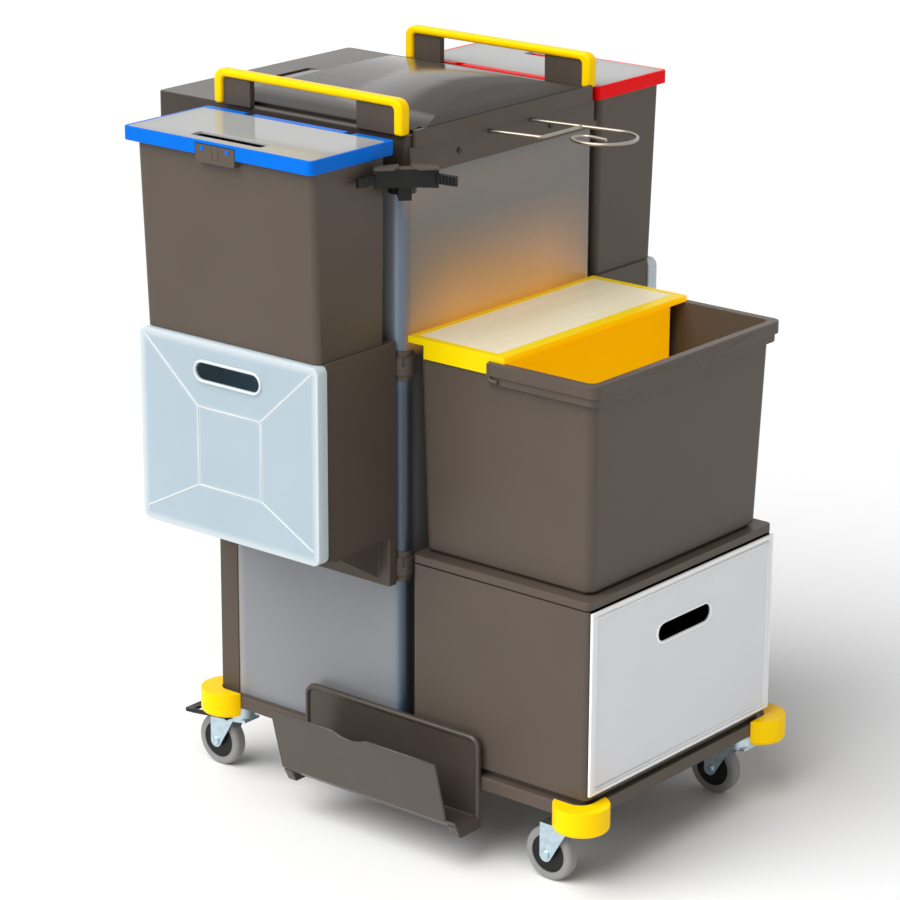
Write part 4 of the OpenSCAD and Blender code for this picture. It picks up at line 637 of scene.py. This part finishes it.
def drawer_trim(side, sign):
    """Crease beads of a side drawer's dished front and the raised rim round its hand slot."""
    crease_r = 1.2
    slot_w, slot_h, slot_drop = 120, 25, 32
    rim_r, rim_wider, rim_sunk = 2.2, 4, 0.4
    low, high = box_mm(f"side_drawer_{side}")
    face = max(abs(low.y), abs(high.y))
    (mid_x, _), inner, outer = drawer_dish(side)
    deep = [(x, sign * (face - DISH_DEPTH), z) for x, z in inner]
    flush = [(x, sign * face, z) for x, z in outer]
    creases = [deep + deep[:1]] + [[a, b] for a, b in zip(deep, flush)]
    rods(f"drawer_creases_{side}", creases, crease_r, thick_milky_plastic, f"drawer_{side}")
    slot_z = high.z - slot_drop - slot_h / 2
    rim = [(mid_x + a, sign * (face - rim_sunk), slot_z + b)
           for a, b in slot_outline(slot_w + rim_wider, slot_h + rim_wider)]
    rods(f"drawer_slot_rim_{side}", [rim], rim_r, thick_milky_plastic, f"drawer_{side}",
         closed=True)


def front_trim():
    """Rim round the hand slot of the silver front and the raised line along its border."""
    slot_w, slot_h, slot_drop = 125, 27, 60
    rim_r, rim_wider, rim_sunk = 2.0, 3, 1.5
    line_r, line_sunk, border = 0.9, 0.3, 9
    low, high = box_mm("drawer_panel")
    slot_z = high.z - slot_drop - slot_h / 2
    rim = [(high.x - rim_sunk, a, slot_z + b)
           for a, b in slot_outline(slot_w + rim_wider, slot_h + rim_wider)]
    rods("front_slot_rim", [rim], rim_r, white_polypropylene, "front_drawer", closed=True)
    near, far = low.y + border, high.y - border
    foot, head = low.z + border, high.z - border
    outline = [(high.x - line_sunk, y, z)
               for y, z in ((near, foot), (far, foot), (far, head), (near, head))]
    rods("front_border_line", [outline], line_r, white_polypropylene, "front_drawer",
         closed=True)


def pocket_rims():
    """Rounded rims along the pocket's back plate and round its front wall with the finger dip."""
    plate_h, plate_half_t, plate_rim_r = 125, 4.5, 4.6
    corner_r, inset = 14, 4
    wall_up, wall_h, wall_half_t = 8, 96, 2
    wall_short, lean, wall_rim_r = 18, 25, 2.3
    dip_place, dip_r, dip_depth = 149, 70, 8
    rim_sunk = 1
    low, high = box_mm("dustpan_pocket")
    back_y = high.y - plate_half_t
    foot_z = high.z - plate_h
    left, right, top = low.x + inset, high.x - inset, high.z - inset
    bends = arc((right - corner_r, top - corner_r), corner_r, 0, 90)
    bends += arc((left + corner_r, top - corner_r), corner_r, 90, 180)
    rim = [(x, back_y, z) for x, z in [(right, foot_z)] + bends + [(left, foot_z)]]
    rods("pocket_back_rim", [rim], plate_rim_r, smooth_polypropylene, "cart")
    # the front wall leans out towards its top, and its front end stops short of the back plate's
    wall_foot = foot_z + wall_up
    wall_top = wall_foot + wall_h
    rim_top = wall_top - rim_sunk
    wall_start, wall_end = low.x + rim_sunk, high.x - wall_short - rim_sunk
    dip_half = math.degrees(math.acos((dip_r - dip_depth) / dip_r))
    dip_centre = (low.x + dip_place, rim_top + dip_r - dip_depth)
    edge = [(wall_end, wall_foot), (wall_end, rim_top)]
    edge += arc(dip_centre, dip_r, -90 + dip_half, -90 - dip_half)
    edge += [(wall_start, rim_top), (wall_start, wall_foot)]
    rim = [(x, low.y + wall_half_t + lean * (wall_top - z) / wall_h, z) for x, z in edge]
    rods("pocket_front_rim", [rim], wall_rim_r, smooth_polypropylene, "cart")


def bucket_trim():
    """Hooked ends of the front bucket's rim beside the tray, and the lens-shaped pour lip at its front."""
    rim_length, rim_sunk = 184, 1.5
    hook_r, hook_inset, hook_start = 3.0, 2, 1
    hook_drop, hook_bend, hook_tail = 18, 7, 9
    lip_from, lip_to = -130, 148
    lip_drop, lip_sag, lip_sunk = 6, 8, 0.4
    lip_r, lip_steps = 1.0, 24
    _, high = box_mm("front_bucket")
    hook_x = high.x - rim_length + hook_inset
    bend_x, bend_z = hook_x + hook_bend, high.z - hook_drop
    hook = [(hook_x, high.z - hook_start), (hook_x, bend_z)]
    hook += arc((bend_x, bend_z), hook_bend, 180, 270)
    hook += [(bend_x + hook_tail, bend_z - hook_bend)]
    for side, sign in SIDES.items():
        run = [(x, sign * (high.y - rim_sunk), z) for x, z in hook]
        rods(f"rim_hook_{side}", [run], hook_r, dark_polypropylene, "front_bucket")
    lip_x, lip_z = high.x - lip_sunk, high.z - lip_drop
    shares = [i / lip_steps for i in range(lip_steps + 1)]
    lens = [(lip_x, lip_from + (lip_to - lip_from) * s, lip_z - lip_sag * math.sin(math.pi * s))
            for s in shares]
    straight = [(lip_x, lip_from, lip_z), (lip_x, lip_to, lip_z)]
    rods("pour_lip", [lens, straight], lip_r, dark_polypropylene, "front_bucket")


def hook_wires():
    """Wire hook: one wire from the apron round the ring and back, and a second one bent across to it."""
    wire_r, ring_r = 2.5, 46
    return_r, bend_r = 16, 8
    ring_y, near_y, far_y = 33, -37, 56
    ring_reach, cross_reach, cross_slant = 150, 84, 15
    # where the ring ends and how far the wire then turns back, both in degrees, and its straight tip
    ring_end, return_turn, tip_length = -125, 150, 28
    low, high = box_mm("wire_hook")
    wire_z = (low.z + high.z) / 2
    ring_x = high.x - ring_r - wire_r
    wire_x = ring_x - ring_reach
    cross_x = wire_x + cross_reach
    # the far wire meets the ring along a tangent, runs round it and turns back into its middle
    to_ring = math.hypot(ring_reach, ring_y - far_y)
    far_turn = math.atan2(ring_y - far_y, ring_reach) + math.asin(ring_r / to_ring)
    end_turn = math.radians(ring_end)
    return_centre = (ring_x + (ring_r - return_r) * math.cos(end_turn),
                     ring_y + (ring_r - return_r) * math.sin(end_turn))
    far_wire = [(wire_x, far_y)]
    far_wire += arc((ring_x, ring_y), ring_r, math.degrees(far_turn) + 90, ring_end, steps=48)
    far_wire += arc(return_centre, return_r, ring_end, ring_end - return_turn, steps=24)[1:]
    tip_turn = math.radians(ring_end - return_turn)
    last_x, last_y = far_wire[-1]
    far_wire += [(last_x + tip_length * math.sin(tip_turn), last_y - tip_length * math.cos(tip_turn))]
    # the near wire slants out, bends and crosses to the far one
    near_turn = math.atan2(cross_slant, cross_reach)
    bend_x = cross_x - bend_r
    bend_y = near_y + (bend_r + math.sin(near_turn) * (bend_x - wire_x)) / math.cos(near_turn)
    near_wire = [(wire_x, near_y)]
    near_wire += arc((bend_x, bend_y), bend_r, math.degrees(near_turn) - 90, 0, steps=12)
    near_wire += [(cross_x, far_y + cross_reach * math.tan(far_turn))]
    runs = [[(x, y, wire_z) for x, y in points] for points in (far_wire, near_wire)]
    bent_wire = rods("bent_wire", runs, wire_r, bright_wire, "cart")
    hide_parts("wire_hook")


def latch(side, sign, lid_finish):
    """Two round buttons in the colour of the bucket's lid and a raised tongue between them."""
    button_r, button_apart, button_drop = 3.4, 46, 10
    button_sunk, button_proud = 1, 0.8
    tongue_r, tongue_w, tongue_taper = 0.7, 14, 0.7
    tongue_head, tongue_foot = 6, 24
    low, high = box_mm(f"side_bucket_{side}")
    face = sign * max(abs(low.y), abs(high.y))
    lid_low, lid_high = box_mm(f"bucket_lid_{side}")
    mid_x = (lid_low.x + lid_high.x) / 2
    button_z = lid_high.z - button_drop
    inner_y, outer_y = face - sign * button_sunk, face + sign * button_proud
    buttons = [[(mid_x + x, inner_y, button_z), (mid_x + x, outer_y, button_z)]
               for x in (-button_apart / 2, button_apart / 2)]
    rods(f"latch_buttons_{side}", buttons, button_r, lid_finish, f"bucket_{side}")
    tongue = [[(mid_x + x, face, lid_high.z - tongue_head),
               (mid_x + x * tongue_taper, face, lid_high.z - tongue_foot)]
              for x in (-tongue_w / 2, tongue_w / 2)]
    rods(f"latch_tongue_{side}", tongue, tongue_r, dark_polypropylene, f"bucket_{side}")


def pedal_loop(side):
    """Loop of a brake pedal, round in section."""
    loop_r, corner = 3.6, 10
    arm_inset, rear_inset, pivot_inset = 4, 4, 6
    rear_z, rear_rise, pivot_z = 77, 1, 86
    low, high = box_mm(f"brake_pedal_{side}")
    right, left = low.y + arm_inset, high.y - arm_inset
    pivot_x = high.x - pivot_inset
    rear_x = low.x + rear_inset
    bend_x, bend_z = rear_x + corner, rear_z + rear_rise
    loop = [(pivot_x, right, pivot_z), (bend_x, right, bend_z), (rear_x, right + corner, rear_z),
            (rear_x, left - corner, rear_z), (bend_x, left, bend_z), (pivot_x, left, pivot_z)]
    rods(f"pedal_loop_{side}", [loop], loop_r, black_nylon, f"pedal_{side}")


for side, sign in SIDES.items():
    drawer_trim(side, sign)
front_trim()
pocket_rims()
bucket_trim()
hook_wires()
latch("right", SIDES["right"], blue_polypropylene)
latch("left", SIDES["left"], red_polypropylene)
for side in SIDES:
    pedal_loop(side)


# Floor, light and camera

def white_floor():
    """Large pale floor that keeps the cart's shadow."""
    half_size_m = 60
    cloud_mm = 2000
    material, tree, shader = new_material("pale_floor", roughness=0.9, sheen=0.0)
    place = add(tree, "ShaderNodeTexCoord").outputs["Object"]
    cloud = add(tree, "ShaderNodeTexNoise", {"Vector": place, "Scale": per_metre(cloud_mm), "Detail": 2.0})
    tone = add(tree, "ShaderNodeValToRGB", {"Fac": cloud.outputs["Fac"]},
               stops=[(0.3, "#F8F8F8"), (0.7, "#FBFBFB")])
    tree.links.new(tone.outputs["Color"], shader.inputs["Base Color"])
    mesh = bpy.data.meshes.new("floor")
    sheet = bmesh.new()
    bmesh.ops.create_grid(sheet, x_segments=8, y_segments=8, size=half_size_m)
    sheet.to_mesh(mesh)
    sheet.free()
    mesh.materials.append(material)
    floor = bpy.data.objects.new("floor", mesh)
    scene.collection.objects.link(floor)


def studio_world():
    """White surroundings as the camera and reflections see them, with a lower level of light on the cart."""
    light_level, seen_level = 0.32, 1.0
    world = bpy.data.worlds.new("studio")
    scene.world = world
    world.use_nodes = True
    tree = world.node_tree
    tree.nodes.clear()
    path = add(tree, "ShaderNodeLightPath")
    seen = add(tree, "ShaderNodeMath", {0: path.outputs["Is Camera Ray"], 1: path.outputs["Is Glossy Ray"]},
               operation="MAXIMUM")
    shown = add(tree, "ShaderNodeMath", {0: seen.outputs[0], 1: path.outputs["Is Transmission Ray"]},
                operation="MAXIMUM")
    level = add(tree, "ShaderNodeMapRange", {"Value": shown.outputs[0], "To Min": light_level,
                                             "To Max": seen_level})
    light = add(tree, "ShaderNodeBackground", {"Color": (1, 1, 1, 1), "Strength": level.outputs["Result"]})
    add(tree, "ShaderNodeOutputWorld", {"Surface": light.outputs["Background"]})


def soft_light(name, direction, strength, spread_deg):
    """Very large soft lamp far away, which lights floor and cart alike from one direction."""
    lamp = bpy.data.lights.new(name, "SUN")
    lamp.energy = strength
    lamp.angle = math.radians(spread_deg)
    made = bpy.data.objects.new(name, lamp)
    made.rotation_euler = (-Vector(direction)).to_track_quat("-Z", "Y").to_euler()
    scene.collection.objects.link(made)


white_floor()
studio_world()
soft_light("key_light", direction=(-0.15, -0.62, 0.77), strength=3.2, spread_deg=60)

# The photograph's camera: 900 x 900 pixels, focal length and centre solved from the cart's own edges
IMAGE_PX = 900
FOCAL_PX = 3336.6
CENTRE_PX = (414.9, 460.2)
SENSOR_MM = 36
AZIMUTH, ELEVATION = math.radians(40.2), math.radians(18.2)
camera = bpy.data.objects.new("camera", bpy.data.cameras.new("camera"))
camera.data.sensor_width = SENSOR_MM
camera.data.lens = FOCAL_PX / IMAGE_PX * SENSOR_MM
camera.data.shift_x = (IMAGE_PX / 2 - CENTRE_PX[0]) / IMAGE_PX
camera.data.shift_y = (CENTRE_PX[1] - IMAGE_PX / 2) / IMAGE_PX
camera.location = (2.9136, -3.5731, 2.0154)
back = Vector((math.sin(AZIMUTH) * math.cos(ELEVATION), -math.cos(AZIMUTH) * math.cos(ELEVATION),
               math.sin(ELEVATION)))
camera.rotation_mode = "QUATERNION"
camera.rotation_quaternion = (-back).to_track_quat("-Z", "Y")
scene.collection.objects.link(camera)
scene.camera = camera
scene.view_settings.view_transform = "Standard"
